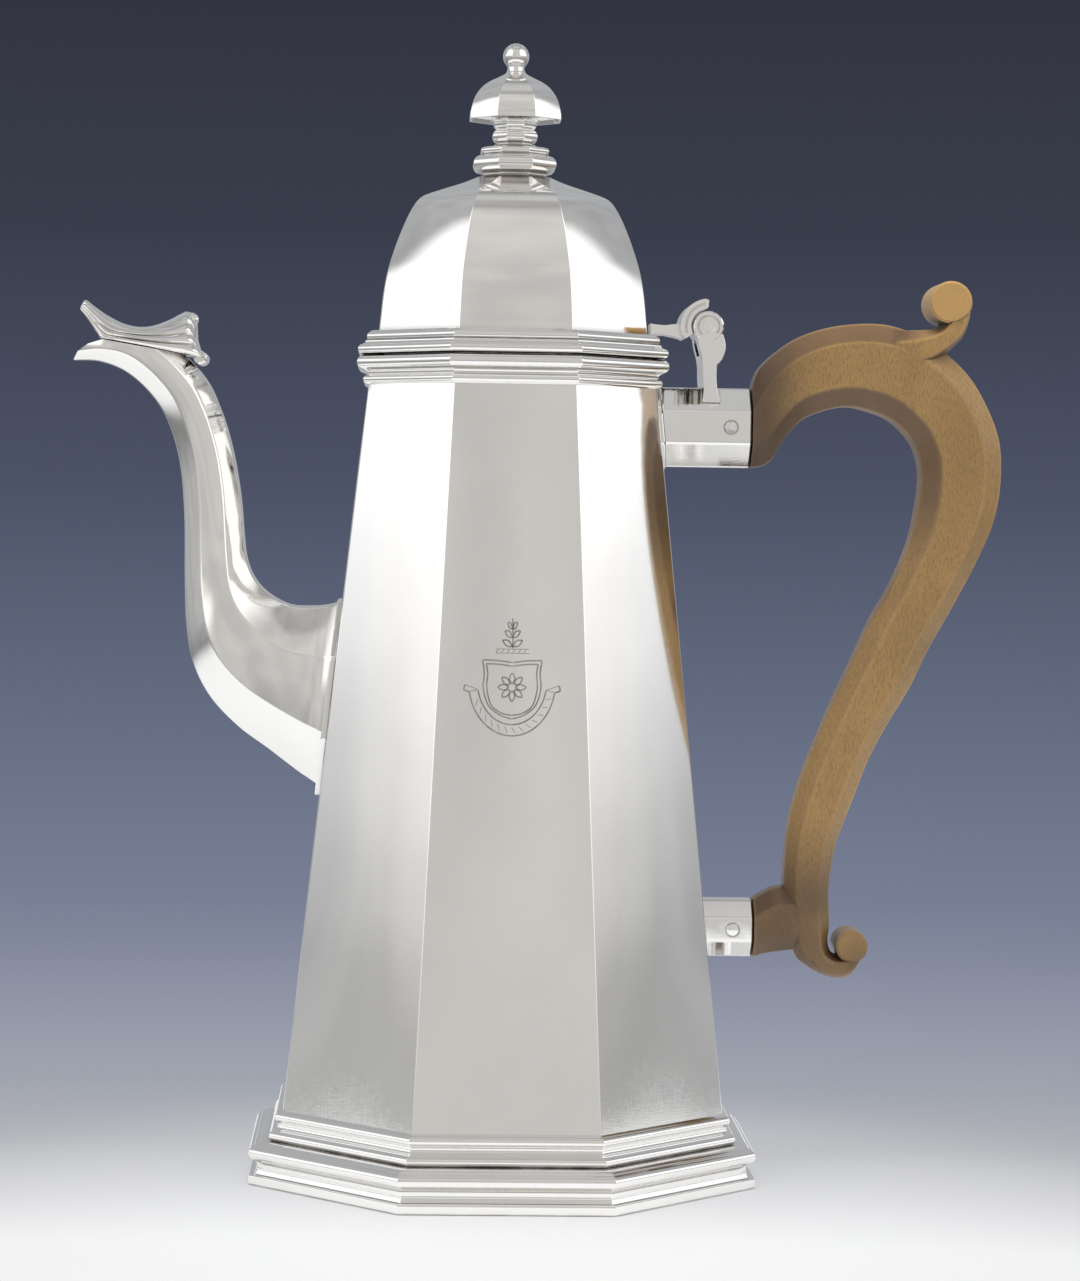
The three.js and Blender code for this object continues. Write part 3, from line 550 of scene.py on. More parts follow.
def wood_material(name):
    """Waxed boxwood: short dark pores along the grain, broad figure, darker by the sockets, with painted
    shade on inward and upward faces and in corners, and painted highlights on the edges.
    """
    material, nodes = new_material(name)
    look = finish()
    place = nodes.add("ShaderNodeTexCoord").outputs["Object"]
    along = nodes.stretched(place, (1, 1, 0.3), (0, math.radians(18), 0))
    pores = nodes.noise(along, 2400, 4, 0.75)
    figure = nodes.noise(nodes.stretched(place, (1, 1, 0.2), (0, math.radians(18), 0)), 130, 4, 0.6)
    cloud = nodes.noise(place, 38, 3, 0.5)
    split = nodes.add("ShaderNodeSeparateXYZ", {0: place}).outputs
    # Darker near the upper socket and down towards the lower socket, broken up by the cloud noise.
    grip = UPPER_SOCKET_END + AXIS_X
    upper = nodes.ramp(split[0], (grip + 1) * MM, (grip + 17) * MM, 1.0, 0.0)
    above = nodes.ramp(split[2], (UPPER_SOCKET_Z - 14) * MM, (UPPER_SOCKET_Z - 12) * MM)
    upper = nodes.math("MULTIPLY", upper, above)
    tail = nodes.ramp(split[2], (LOWER_SOCKET_Z + 4) * MM, (LOWER_SOCKET_Z + 30) * MM, 0.85, 0.0)
    darkened = nodes.math("MAXIMUM", upper, tail)
    darkened = nodes.math("MULTIPLY", darkened, nodes.ramp(cloud, 0.3, 0.65, 0.5, 1.0))
    tone = nodes.math("ADD", nodes.math("MULTIPLY", figure, 0.5), nodes.math("MULTIPLY", cloud, 0.5))
    shaded = [c * 0.8 for c in look.wood_light]
    base = nodes.mix(nodes.ramp(tone, 0.36, 0.62), rgba(shaded), rgba(look.wood_light))
    speck = nodes.math("MULTIPLY", nodes.ramp(pores, 0.44, 0.66), 0.5)
    base = nodes.mix(speck, base, rgba(look.wood_dark))
    # Painted shade: faces turned inwards or downwards, most strongly near the upper socket, and upward faces
    # on the part nearer the body, are darkened towards the dark wood.
    facing = nodes.add("ShaderNodeTexCoord").outputs["Normal"]
    across, _, up = nodes.add("ShaderNodeSeparateXYZ", {0: facing}).outputs
    inward_shade = nodes.math("MAXIMUM", nodes.ramp(across, -0.05, -0.4), nodes.ramp(up, -0.1, -0.45))
    arch = nodes.ramp(split[2], (UPPER_SOCKET_Z - 34) * MM, (UPPER_SOCKET_Z - 12) * MM, 0.12, 1.0)
    inward_shade = nodes.math("MULTIPLY", inward_shade, arch)
    top_face_shade = nodes.math("MULTIPLY", nodes.ramp(up, 0.25, 0.5), nodes.ramp(split[0], 0.088, 0.082))
    painted_shade = nodes.math("MULTIPLY", nodes.math("MAXIMUM", inward_shade, top_face_shade), 0.82)
    base = nodes.mix(painted_shade, base, rgba(look.wood_dark))
    # Edges lightened towards a paler wood: partly wear, partly a painted highlight along the carved arrises.
    edge = nodes.add("ShaderNodeNewGeometry").outputs["Pointiness"]
    worn_edge_and_highlight = nodes.math("MULTIPLY", nodes.ramp(edge, 0.506, 0.545), 0.6)
    base = nodes.mix(worn_edge_and_highlight, base, rgba([c * 1.7 for c in look.wood_light]))
    base = nodes.mix(nodes.math("MULTIPLY", darkened, 0.95), base, rgba([c * 0.6 for c in look.wood_dark]))
    # Painted shade: darker in corners and recesses, such as where the scrolls and the block meet the grip.
    corner = nodes.add("ShaderNodeAmbientOcclusion", {"Distance": 4 * MM}, samples=6).outputs["AO"]
    base = nodes.mix(nodes.ramp(corner, 0.85, 0.35, 0.0, 0.75), base, rgba([c * 0.4 for c in look.wood_dark]))
    rough = nodes.ramp(pores, 0.4, 0.7, look.wood_polish, look.wood_polish * 1.35)
    bump = nodes.add("ShaderNodeBump", {"Strength": 0.25, "Distance": 0.06 * MM, "Height": pores})
    rough_cut = nodes.add(
        "ShaderNodeBump",
        {"Strength": 0.25, "Distance": 0.4 * MM, "Height": cloud, "Normal": bump.outputs[0]},
    )
    shader = nodes.add(
        "ShaderNodeBsdfPrincipled",
        {
            "Base Color": base,
            "Roughness": rough,
            "Normal": rough_cut.outputs[0],
            "Coat Weight": 0.25,
            "Coat Roughness": 0.28,
        },
    )
    nodes.add("ShaderNodeOutputMaterial", {"Surface": shader.outputs[0]})
    return material


def material_called(name, make):
    return bpy.data.materials.get(name) or make(name)


def silver():
    return material_called("polished_silver", lambda name: silver_material(name, finish().polish))


def inner_silver():
    return material_called("inner_silver", lambda name: silver_material(name, 0.26, 0.8, 1.6))


def cut_silver():
    return material_called("cut_silver", cut_material)


def wood():
    return material_called("waxed_boxwood", wood_material)


# ------------------------------------------------------------------ the foot


class POT_OT_foot(bpy.types.Operator):
    """Plinth, skirt and top moulding of the octagonal foot"""

    bl_idname = "pot.foot"
    bl_label = "Foot"

    def execute(self, context):
        arris = sizes().moulding_arris
        edge = apothem_of("foot_rim")
        floor, rim_top = low("foot_rim").z, high("foot_rim").z
        plinth = octagonal("foot_plinth", outline([
            (edge - 3.4, floor),
            (edge - 0.5, floor),
            (edge, floor + 0.5, 0.15),
            (edge, rim_top - 0.45),
            (edge - 0.45, rim_top, 0.13),
            (edge - 3.4, rim_top),
        ]), arris)
        hand_over(plinth, silver(), "pot", "silver", "foot_rim")

        bottom, top = low("foot_skirt").z, high("foot_skirt").z
        outer = apothem_of("foot_skirt") - 0.05
        lip = body_apothem(BODY_LOW) + 0.3
        skirt = octagonal("foot_skirt_wall", outline([
            (outer - 2.8, bottom),
            (outer - 0.9, bottom),
            (outer - 1.2, bottom + 0.9),
            (outer - 1.35, bottom + 1.4, 0.12),
            (outer - 0.5, bottom + 3.1, -0.3),
            (outer - 0.1, bottom + 3.3),
            (outer - 0.45, top - 0.9, 1.0),
            (outer - 1.7, top - 0.1, 0.1),
            (outer - 2.2, top),
            (lip, top),
            (lip, top - 1.3),
            (outer - 3, top - 2.4),
        ]), arris)
        hand_over(skirt, silver(), "pot", "silver", "foot_skirt")

        bottom, top = low("foot_moulding").z, high("foot_moulding").z
        inner_low, inner_high = body_apothem(bottom) + 0.05, body_apothem(top) + 0.05
        moulding = octagonal("foot_top_moulding", outline([
            (inner_low, bottom),
            (inner_high + 2.3, bottom),
            (inner_high + 2.5, bottom + 1.9, 0.5),
            (inner_high + 2.2, bottom + 2.25),
            (inner_high + 1.7, bottom + 2.4),
            (inner_high + 0.95, bottom + 3.9, -0.4),
            (inner_high + 1.15, bottom + 4.15),
            (inner_high + 0.6, top - 0.35, 0.75),
            (inner_high + 0.1, top),
            (inner_high, top),
        ]), arris)
        hand_over(moulding, silver(), "pot", "silver", "foot_moulding")
        return {"FINISHED"}


# ------------------------------------------------------------------ the body


class POT_OT_body(bpy.types.Operator):
    """Tapering octagonal body with its strainer, and the mouldings under the brim"""

    bl_idname = "pot.body"
    bl_label = "Body"

    wall: bpy.props.FloatProperty(name="Wall", description="Thickness of the body, mm", default=1)
    hole: bpy.props.FloatProperty(name="Strainer hole", description="Radius, mm", default=1.9)
    pitch: bpy.props.FloatProperty(name="Strainer pitch", description="Distance between holes, mm", default=6)

    def execute(self, context):
        levels = [*np.linspace(BODY_LOW, FOOT_TOP, 3), *np.linspace(FOOT_TOP, BRIM, 30)[1:]]
        arris = sizes().arris
        rings = [octagon_ring(body_apothem(z), z, arris, body_crown(z), 6) for z in levels]
        rings += [octagon_ring(body_apothem(z) - self.wall, z, arris, body_crown(z), 6) for z in levels[::-1]]
        body = solid("body_wall", skin(rings, closed=True))
        combine(body, self.strainer_holes(), "DIFFERENCE")
        hand_over(body, silver(), "pot", "silver", "body_shell")

        bottom, top = low("body_rim_moulding").z, high("body_rim_moulding").z
        inner = body_apothem(top)
        rim = octagonal("brim_moulding", outline([
            (body_apothem(bottom) + 0.05, bottom),
            (inner + 0.85, bottom),
            (inner + 1.35, bottom + 0.3),
            (inner + 1.5, bottom + 1.9, 0.5),
            (inner + 1.05, bottom + 2.2),
            (inner + 1.75, bottom + 3.35, -0.25),
            (inner + 2.05, bottom + 3.5),
            (inner + 2.5, top - 0.15, 1.05),
            (inner + 2.2, top),
            (inner + 0.05, top),
        ]), sizes().moulding_arris)
        hand_over(rim, silver(), "pot", "silver", "body_rim_moulding")
        return {"FINISHED"}

    def strainer_holes(self):
        reach, sides = 5, 20
        points, faces = [], []
        for row in range(5):
            count = 3 if row % 2 == 0 else 2
            for i in range(count):
                y = (i - (count - 1) / 2) * self.pitch
                z = SPOUT_ROOT_Z + (row - 2) * self.pitch * 0.87
                start = len(points)
                for end in (-reach, reach):
                    for step in range(sides):
                        turn = 2 * math.pi * step / sides
                        points.append(Vector((
                            -body_apothem(z) + end,
                            y + self.hole * math.cos(turn),
                            z + self.hole * math.sin(turn),
                        )))
                far = start + sides
                for here in range(sides):
                    there = (here + 1) % sides
                    faces.append((start + here, start + there, far + there, far + here))
                faces += [tuple(range(start, far)), tuple(range(far, far + sides))]
        return solid("strainer_tool", (points, faces))


class POT_OT_engraving(bpy.types.Operator):
    """Plain engraved cartouche on the front flat: shield, rosette, ribbon, bar and sprig"""

    bl_idname = "pot.engraving"
    bl_label = "Engraving"

    middle_z: bpy.props.FloatProperty(name="Height", description="Middle of the shield, mm", default=111)
    half: bpy.props.FloatProperty(name="Half width", description="Half width of the shield, mm", default=6.4)

    def execute(self, context):
        strokes = self.shield(0) + self.shield(0.8) + self.rosette() + self.ribbon() + self.crest()
        points, faces = [], []
        for stroke in strokes:
            self.cut(rounded_line(stroke, 5) if len(stroke) > 2 else stroke, points, faces)
        work = solid("engraved_cartouche", (points, faces))
        hand_over(work, cut_silver(), "pot", "silver")
        return {"FINISHED"}

    def shield(self, inset):
        w, z = self.half - inset, self.middle_z
        side = [
            (w, z + 6 - inset), (w * 0.94, z + 3), (w * 0.97, z), (w * 0.8, z - 3.6),
            (w * 0.42, z - 5.7 + inset / 2), (0, z - 6.6 + inset),
        ]
        top = [(0, z + 5.5 - inset), (w * 0.5, z + 5.9 - inset), (w, z + 6 - inset)]
        return [side, [(-x, y) for x, y in side], top, [(-x, y) for x, y in top]]

    def rosette(self):
        strokes = []
        for i in range(8):
            turn = i * math.pi / 4
            along = Vector((math.cos(turn), math.sin(turn)))
            across = Vector((-math.sin(turn), math.cos(turn)))
            centre = Vector((0, self.middle_z + 0.2))
            petal = [(0.7, 0), (1.8, 0.62), (3, 0), (1.8, -0.62), (0.7, 0)]
            strokes.append([tuple(centre + along * a + across * c) for a, c in petal])
        return strokes

    def ribbon(self):
        z = self.middle_z + 1.6
        strokes = []

        def arc(radius, start, end, steps=12):
            turns = np.linspace(math.radians(start), math.radians(end), steps)
            return [(radius * 0.8 * math.sin(t), z - radius * math.cos(t)) for t in turns]

        for radius in (9.4, 11.8):
            strokes.append(arc(radius, -78, 78))
        for side in (-1, 1):
            start, end = arc(9.4, side * 78, side * 79, 2)[0], arc(11.8, side * 78, side * 79, 2)[0]
            fold = (end[0] + side * 0.9, end[1] + 1.5)
            strokes += [[start, end], [end, (end[0] + side * 1.1, end[1] + 0.4), fold], [fold, start]]
        for turn in range(-66, 67, 11):
            near, far = arc(10, turn, turn + 5, 2)[0], arc(11.2, turn, turn + 5, 2)[1]
            strokes.append([near, far])
        return strokes

    def crest(self):
        z = self.middle_z + 7.5
        strokes = [[(-3.6, z), (3.6, z)], [(-3.6, z + 0.9), (3.6, z + 0.9)]]
        strokes += [[(-3.6 + 1.2 * i, z), (-3 + 1.2 * i, z + 0.9)] for i in range(6)]
        strokes.append([(0, z + 1), (0.1, z + 3.4), (0, z + 7.6)])
        for rise, reach in ((1.4, 2.2), (3.4, 1.7), (5.2, 1.1)):
            for side in (-1, 1):
                tip = (side * reach, z + rise + 1.4)
                strokes.append([(0, z + rise), (side * reach * 0.6, z + rise + 0.2), tip])
                strokes.append([tip, (side * reach * 0.4, z + rise + 1.3), (0, z + rise)])
        return strokes

    def cut(self, line, points, faces):
        """One cut line, with a fine burr, following the front flat."""
        line = [Vector(p) for p in line]
        start = len(points)
        for i, p in enumerate(line):
            along = line[min(i + 1, len(line) - 1)] - line[max(i - 1, 0)]
            across = Vector((-along.y, along.x)).normalized() * sizes().cut_width / 2
            thin = 0.45 if i in (0, len(line) - 1) else 1
            for share, rise in ((-1, -0.05), (-0.8, 0.035), (0.8, 0.035), (1, -0.05)):
                spot = p + across * share * thin
                points.append(Vector((spot.x, -self.flat_depth(spot.x, spot.y) - rise, spot.y)))
        for i in range(len(line) - 1):
            for k in range(4):
                here, there = start + 4 * i, start + 4 * i + 4
                faces.append((here + k, here + (k + 1) % 4, there + (k + 1) % 4, there + k))
        faces.append((start, start + 1, start + 2, start + 3))
        end = start + 4 * (len(line) - 1)
        faces.append((end, end + 1, end + 2, end + 3))

    def flat_depth(self, x, z):
        apothem = body_apothem(z)
        half = (apothem - sizes().arris) * FLAT_SHARE
        return apothem + MAIN_CROWN * body_crown(z) * half * (1 - (x / half) ** 2)


# ------------------------------------------------------------------ the lid


# The dome's outside: apothem and height above its foot, from the foot to the finial.
DOME_LINE = [
    (29.65, 0), (29.35, 3.4), (28.85, 8.4), (28.1, 12.9), (27, 16.9), (25.5, 21.3), (23.85, 25.3),
    (22.3, 28.2), (20.95, 29.8), (19.2, 30.75), (15.5, 32.15), (11.5, 33.6), (8.6, 34.9), (7.2, 35.6),
]


class POT_OT_lid(bpy.types.Operator):
    """Domed octagonal lid with its rim and step"""

    bl_idname = "pot.lid"
    bl_label = "Lid"

    wall: bpy.props.FloatProperty(name="Wall", description="Thickness of the dome, mm", default=1)

    def execute(self, context):
        arris = sizes().moulding_arris
        inner = DOME_APOTHEM + 0.05
        bottom, top = low("lid_rim_moulding").z, high("lid_rim_moulding").z
        edge = body_apothem(BRIM)
        rim = octagonal("lid_rim", outline([
            (inner, bottom),
            (edge + 2.2, bottom),
            (edge + 2.55, bottom + 0.15),
            (edge + 2.3, top - 0.85, 0.72),
            (edge + 1.95, top - 0.7),
            (edge + 1.5, top, -0.15),
            (inner, top),
        ]), arris)
        hand_over(rim, silver(), "lid", "silver", "lid_rim_moulding")

        bottom, top = low("lid_step_moulding").z, high("lid_step_moulding").z
        step = octagonal("lid_step", outline([
            (inner, bottom),
            (edge + 0.75, bottom),
            (edge + 0.55, top - 0.45, 0.55),
            (edge + 0.1, top - 0.1),
            (edge - 0.9, top),
            (inner, top),
        ]), arris)
        hand_over(step, silver(), "lid", "silver", "lid_step_moulding")

        scale = DOME_APOTHEM / DOME_LINE[0][0]
        outer = [(a * scale, DOME_FOOT + z) for a, z in DOME_LINE]
        outer = rounded_line([(DOME_APOTHEM, low("lid_dome").z), *outer], 5)
        inside = []
        for i, p in enumerate(outer):
            along = outer[min(i + 1, len(outer) - 1)] - outer[max(i - 1, 0)]
            along /= np.linalg.norm(along)
            inside.append((p[0] - along[1] * self.wall, p[1] + along[0] * self.wall))
        line = [tuple(p) for p in outer] + [(1.6, DOME_FOOT + 35.6), (1.6, DOME_FOOT + 34.6)] + inside[::-1]
        dome = octagonal("lid_dome_shell", line, sizes().arris, sizes().dome_crown, across=8)
        hand_over(dome, silver(), "lid", "silver", "lid_dome")
        return {"FINISHED"}


class POT_OT_finial(bpy.types.Operator):
    """Collar, stem and bell with its ball, on top of the lid"""

    bl_idname = "pot.finial"
    bl_label = "Finial"

    def execute(self, context):
        bore = 1.6
        z = low("finial_collar").z
        collar = octagonal("finial_base", outline([
            (bore, z),
            (7, z),
            (7.1, z + 0.5, -0.08),
            (8.3, z + 0.8),
            (8.4, z + 4.1, 0.95),
            (7.5, z + 4.45),
            (7.1, z + 4.75),
            (7.2, z + 6.1, 0.5),
            (6.3, z + 6.35),
            (4.4, z + 6.9, -0.2),
            (bore, z + 6.9),
        ]), 0.35)
        hand_over(collar, silver(), "lid", "silver", "finial_collar")

        z = low("finial_stem").z
        stem = octagonal("finial_neck", outline([
            (bore, z),
            (3.9, z),
            (4, z + 0.4, -0.1),
            (4.4, z + 0.6),
            (4.5, z + 3.0, 0.6),
            (4.15, z + 3.3),
            (4.3, z + 3.6),
            (4.8, z + 5.0, 0.2),
            (5.5, z + 5.5, -0.15),
            (bore, z + 5.5),
        ]), 0.3)
        hand_over(stem, silver(), "lid", "silver", "finial_stem")

        z = low("finial_bell").z
        top = high("finial_bell").z
        ball = 2.95
        side = rounded_line([
            (10.2, z), (10.05, z + 1.8), (9.2, z + 4.7), (7.6, z + 7.05), (5.8, z + 8.45), (3.9, z + 9.45),
            (2.45, z + 10.35), (1.95, z + 11.2), (1.9, z + 11.9),
        ], 4)
        low_turn = math.asin((z + 11.95 - (top - ball)) / ball)
        cap = []
        for i in range(1, 13):
            turn = low_turn + (math.pi / 2 - low_turn) * i / 12
            cap.append((ball * math.cos(turn), top - ball + ball * math.sin(turn)))
        under = [(bore, z + 8), (bore, z + 0.9), (9.3, z + 0.9), (9.6, z)]
        line = [tuple(p) for p in side] + cap
        rings = []
        for apothem, height in line:
            # the corners fade between the bell and the round ball
            round_share = max(0, min(1, (height - z - 9.6) / 2.2))
            rings.append(octagon_ring(max(apothem, 0.02), height, 0.35 + 3 * round_share, 0.03))
        inner = [octagon_ring(apothem, height, 0.3) for apothem, height in under]
        bell = solid("finial_bell_and_ball", skin(inner + rings))
        hand_over(bell, silver(), "lid", "silver", "finial_bell")
        return {"FINISHED"}


# ------------------------------------------------------------------ the spout

# Under point, upper point and half width along the spout, from the middle of its root.
SPOUT_STATIONS = [
    ((0, -22.8), (4.2, 20.6), 13.5),
    ((-1.9, -21.7), (2.2, 20.6), 13.45),
    ((-2.4, -21.3), (1.7, 20.4), 12.7),
    ((-3.6, -20.5), (0.4, 19.9), 11.85),
    ((-5.6, -19.2), (-1.7, 19.4), 11.25),
    ((-8.4, -17.3), (-4.6, 19.15), 11),
    ((-14.4, -12.8), (-9.9, 19.4), 10.9),
    ((-21.2, -7.9), (-14.9, 22), 10.4),
    ((-27.5, -1.4), (-18.1, 25.6), 9.4),
    ((-31.5, 6.2), (-19.8, 30), 8.4),
    ((-33.1, 14.7), (-20.5, 35.4), 7.4),
    ((-33.6, 24.7), (-20.9, 40.2), 6.7),
    ((-33.9, 39.7), (-21.6, 45.7), 6.3),
    ((-35.1, 51.5), (-23.2, 54), 6.2),
    ((-37.9, 60.5), (-25.9, 62.7), 6.3),
    ((-41.9, 66.6), (-30.4, 71.1), 6.6),
    ((-47.4, 71.3), (-41, 80.4), 6.8),
    ((-53.4, 73.5), (-51, 81.4), 6),
    ((-59, 73.6), (-59.2, 79), 3.4),
]
SPOUT_ROOT_X = -body_apothem(SPOUT_ROOT_Z)


def by_root(x, z):
    """A point (x, z) counted from the middle of the spout's root."""
    return (SPOUT_ROOT_X + x, SPOUT_ROOT_Z + z)


class POT_OT_spout(bpy.types.Operator):
    """Swan-neck spout with its root flange and the leaf over its mouth"""

    bl_idname = "pot.spout"
    bl_label = "Spout"

    wall: bpy.props.FloatProperty(name="Wall", description="Thickness of the spout, mm", default=1)

    def execute(self, context):
        tube = self.tube("spout_tube", 0)
        combine(tube, self.tube("bore_tool", self.wall), "DIFFERENCE")
        combine(tube, self.mouth_tool(), "DIFFERENCE")
        hand_over(tube, silver(), "pot", "silver", "spout_shell")
        self.flange()
        self.leaf()
        return {"FINISHED"}

    def tube(self, name, inset):
        rows = [(*by_root(*u), *by_root(*o), half, FLAT_SHARE) for u, o, half in SPOUT_STATIONS]
        rings = []
        for row in rounded_line(rows, 7):
            under, upper = Vector(row[0:2]), Vector(row[2:4])
            rise = (upper - under).normalized() * inset
            corners = eight_sided(under + rise, upper - rise, row[4] - inset, row[5])
            rings.append(faceted(corners, sizes().spout_edge, 0.02))
        for reach in (0, -1):
            if inset:
                far = (rings[0], rings[1]) if reach == 0 else (rings[-1], rings[-2])
                push = [(a - b).normalized() * 3 + a for a, b in zip(*far)]
                rings.insert(0, push) if reach == 0 else rings.append(push)
        return solid(name, skin(rings))

    def mouth_tool(self):
        line = [(-27, 73.8), (-52.3, 78.1), (-55.6, 77.1), (-57.9, 75.5), (-59.1, 73.6), (-64, 73.4)]
        line += [(-64, 97), (-27, 97)]
        return side_plate("mouth_tool", [by_root(*p) for p in line], 40)

    def flange(self):
        under, upper, half = SPOUT_STATIONS[0]
        root = eight_sided(by_root(*under), by_root(*upper), half)
        centre = Vector((*by_root(2, -1), 0)).xzy
        rings = []
        for grow, out in ((-1.3, 0.1), (0.1, 0.1), (0.3, 0.35), (0.3, 1.15), (0.1, 1.4), (-1.3, 1.4)):
            ring = []
            for corner in soften(root, 0.6):
                away = corner - centre
                away.x = 0
                p = corner + away.normalized() * grow
                ring.append(Vector((-body_apothem(p.z) - out, p.y, p.z)))
            rings.append(ring)
        plate = solid("spout_root_plate", skin(rings, closed=True))
        hand_over(plate, silver(), "pot", "silver", "spout_flange")

    def leaf(self):
        """The ribbed leaf over the mouth: a saddle from the side, ribs fanning from the notch."""
        top_line = rounded_line([
            (-57.4, 86.2), (-56.6, 87.1), (-54.6, 85.7), (-52.1, 84), (-48.4, 82.1), (-44.8, 81.3),
            (-41.5, 81.6), (-38, 82.9), (-35.6, 84.2), (-33.9, 84.9), (-32.4, 84.2), (-31.5, 82.4),
        ], 5)
        low_line = rounded_line([
            (-57.7, 84.8), (-56.2, 83.1), (-54.6, 80.9), (-53.3, 79.1), (-52.3, 78.2), (-47, 77.4),
            (-41.5, 76.5), (-36, 75.5), (-32.5, 74.9), (-30.6, 74.5), (-29.6, 74.2), (-29.3, 74.3),
        ], 5)
        width_line = rounded_line([
            (1.6,), (2.4,), (3.5,), (4.6,), (5.4,), (6.7,), (7.4,), (7.8,), (7.8,), (7.4,), (6.6,), (5.6,),
        ], 5)
        rings = []
        last = len(top_line) - 1
        for i, (top, bottom, width) in enumerate(zip(top_line, low_line, width_line)):
            bow = 1.5 * (i / last) ** 3
            rings.append(self.leaf_section(by_root(*top), by_root(*bottom), width[0], bow))
        leaf = solid("mouth_leaf", skin(rings))
        for place, radius, half in (((-30.5, 74.4), 1.5, 5.9), ((-32.7, 83.2), 1.35, 2.3)):
            bead = [(0, -half), (radius - 0.5, -half), (radius, -half + 0.5)]
            bead += [(r, -y) for r, y in reversed(bead)]
            combine(leaf, turned_along_y("leaf_bead", bead, *by_root(*place), 28), "UNION")
        hand_over(leaf, silver(), "pot", "silver", "spout_bill", crease=30)

    def leaf_section(self, top, bottom, width, bow):
        """Bands and grooves up one side of the leaf, over its ridge and down the other side."""
        bands = 4
        steps = 7
        side = []
        for band in range(bands):
            for s in range(steps):
                t = s / steps
                share = (band + t) / bands
                swell = 0.13 * math.sin(math.pi * t) ** 0.75 * (1 - 0.3 * share)
                across = (1 - share ** 1.9) ** 0.62
                side.append((across + swell, share))
        ring = []
        for across, share in side:
            x = bottom[0] + (top[0] - bottom[0]) * share - bow * math.sin(math.pi * share)
            z = bottom[1] + (top[1] - bottom[1]) * share
            ring.append(Vector((x, across * width, z)))
        ridge = Vector((top[0], 0, top[1]))
        other = [Vector((p.x, -p.y, p.z)) for p in reversed(ring)]
        return ring + [ridge] + other


# ------------------------------------------------------------------ handle sockets


class POT_OT_sockets(bpy.types.Operator):
    """Octagonal handle sockets with their pins and the upper socket's body plate"""

    bl_idname = "pot.sockets"
    bl_label = "Sockets"

    wall: bpy.props.FloatProperty(name="Wall", description="Thickness of a socket, mm", default=1.2)

    def execute(self, context):
        upper = apothem_of("upper_handle_socket")
        lower = apothem_of("lower_handle_socket")
        self.tube("upper_socket", upper, UPPER_SOCKET_END, UPPER_SOCKET_Z, 1.3, "upper_handle_socket")
        self.tube("lower_socket", lower, LOWER_SOCKET_END, LOWER_SOCKET_Z, 0.15, "lower_handle_socket")
        self.tube("upper_socket_rim", upper + 0.5, None, UPPER_SOCKET_Z, 0.15, "upper_socket_plate")
        self.pin("upper_pin", upper, "upper_handle_pin")
        self.pin("lower_pin", lower, "lower_handle_pin")
        return {"FINISHED"}

    def tube(self, name, apothem, end, z, gap, node):
        """A tube from the body's sloping flat to its open end, or a thin plate on the flat."""
        bore = apothem - self.wall - (0.5 if end is None else 0)
        outer = self.section(apothem, z, 0.5)
        inner = self.section(bore, z, 0.4)
        small = self.section(apothem - 0.25, z, 0.4)
        wide_bore = self.section(bore + 0.2, z, 0.4)

        def at_body(ring, off):
            return [Vector((body_apothem(p.z) + off, p.y, p.z)) for p in ring]

        def at_end(ring, x):
            return [Vector((x, p.y, p.z)) for p in ring]

        if end is None:
            rings = [
                at_body(inner, gap), at_body(outer, gap), at_body(outer, 0.9),
                at_body(small, 1.15), at_body(inner, 1.15),
            ]
        else:
            rings = [
                at_body(inner, gap), at_body(outer, gap), at_end(outer, end - 0.3), at_end(small, end),
                at_end(wide_bore, end), at_end(inner, end - 0.25),
            ]
        piece = solid(name, skin(rings, closed=True))
        if end is not None:
            self.sink_pin(piece, apothem, node.replace("socket", "pin"))
        hand_over(piece, silver(), "pot", "silver", node)

    def sink_pin(self, piece, apothem, pin_node):
        """A fine groove in the socket round each end of its pin."""
        centre = middle(pin_node)
        radius = (high(pin_node).x - low(pin_node).x) / 2
        for side in (-1, 1):
            start, end = sorted((side * (apothem - 0.45), side * (apothem + 0.6)))
            near, far = radius - 0.2, radius + 0.3
            groove = [(near, start), (far, start), (far, end), (near, end)]
            rings = circles_along_y(groove, centre.x - AXIS_X, centre.z, 32)
            combine(piece, solid("seat", skin(rings, closed=True)), "DIFFERENCE")

    def section(self, apothem, z, cut):
        return soften(octagon_along_x(0, apothem, z), cut)

    def pin(self, name, apothem, node):
        centre = middle(node)
        x = centre.x - AXIS_X
        radius = (high(node).x - low(node).x) / 2
        reach = apothem + 0.3
        line = [(0, -reach), (radius * 0.55, -reach + 0.03)]
        line += [(radius * 0.92, -reach + 0.12), (radius, -reach + 0.28)]
        line += [(r, -y) for r, y in reversed(line)]
        piece = turned_along_y(name, line, x, centre.z, 32)
        hand_over(piece, silver(), "pot", "silver", node)


# ------------------------------------------------------------------ the handle


def by_upper(x, z):
    """A point (x, z) counted from the middle of the upper socket's open end."""
    return (UPPER_SOCKET_END + x, UPPER_SOCKET_Z + z)


def by_lower(x, z):
    """A point (x, z) counted from the middle of the lower socket's open end."""
    return (LOWER_SOCKET_END + x, LOWER_SOCKET_Z + z)


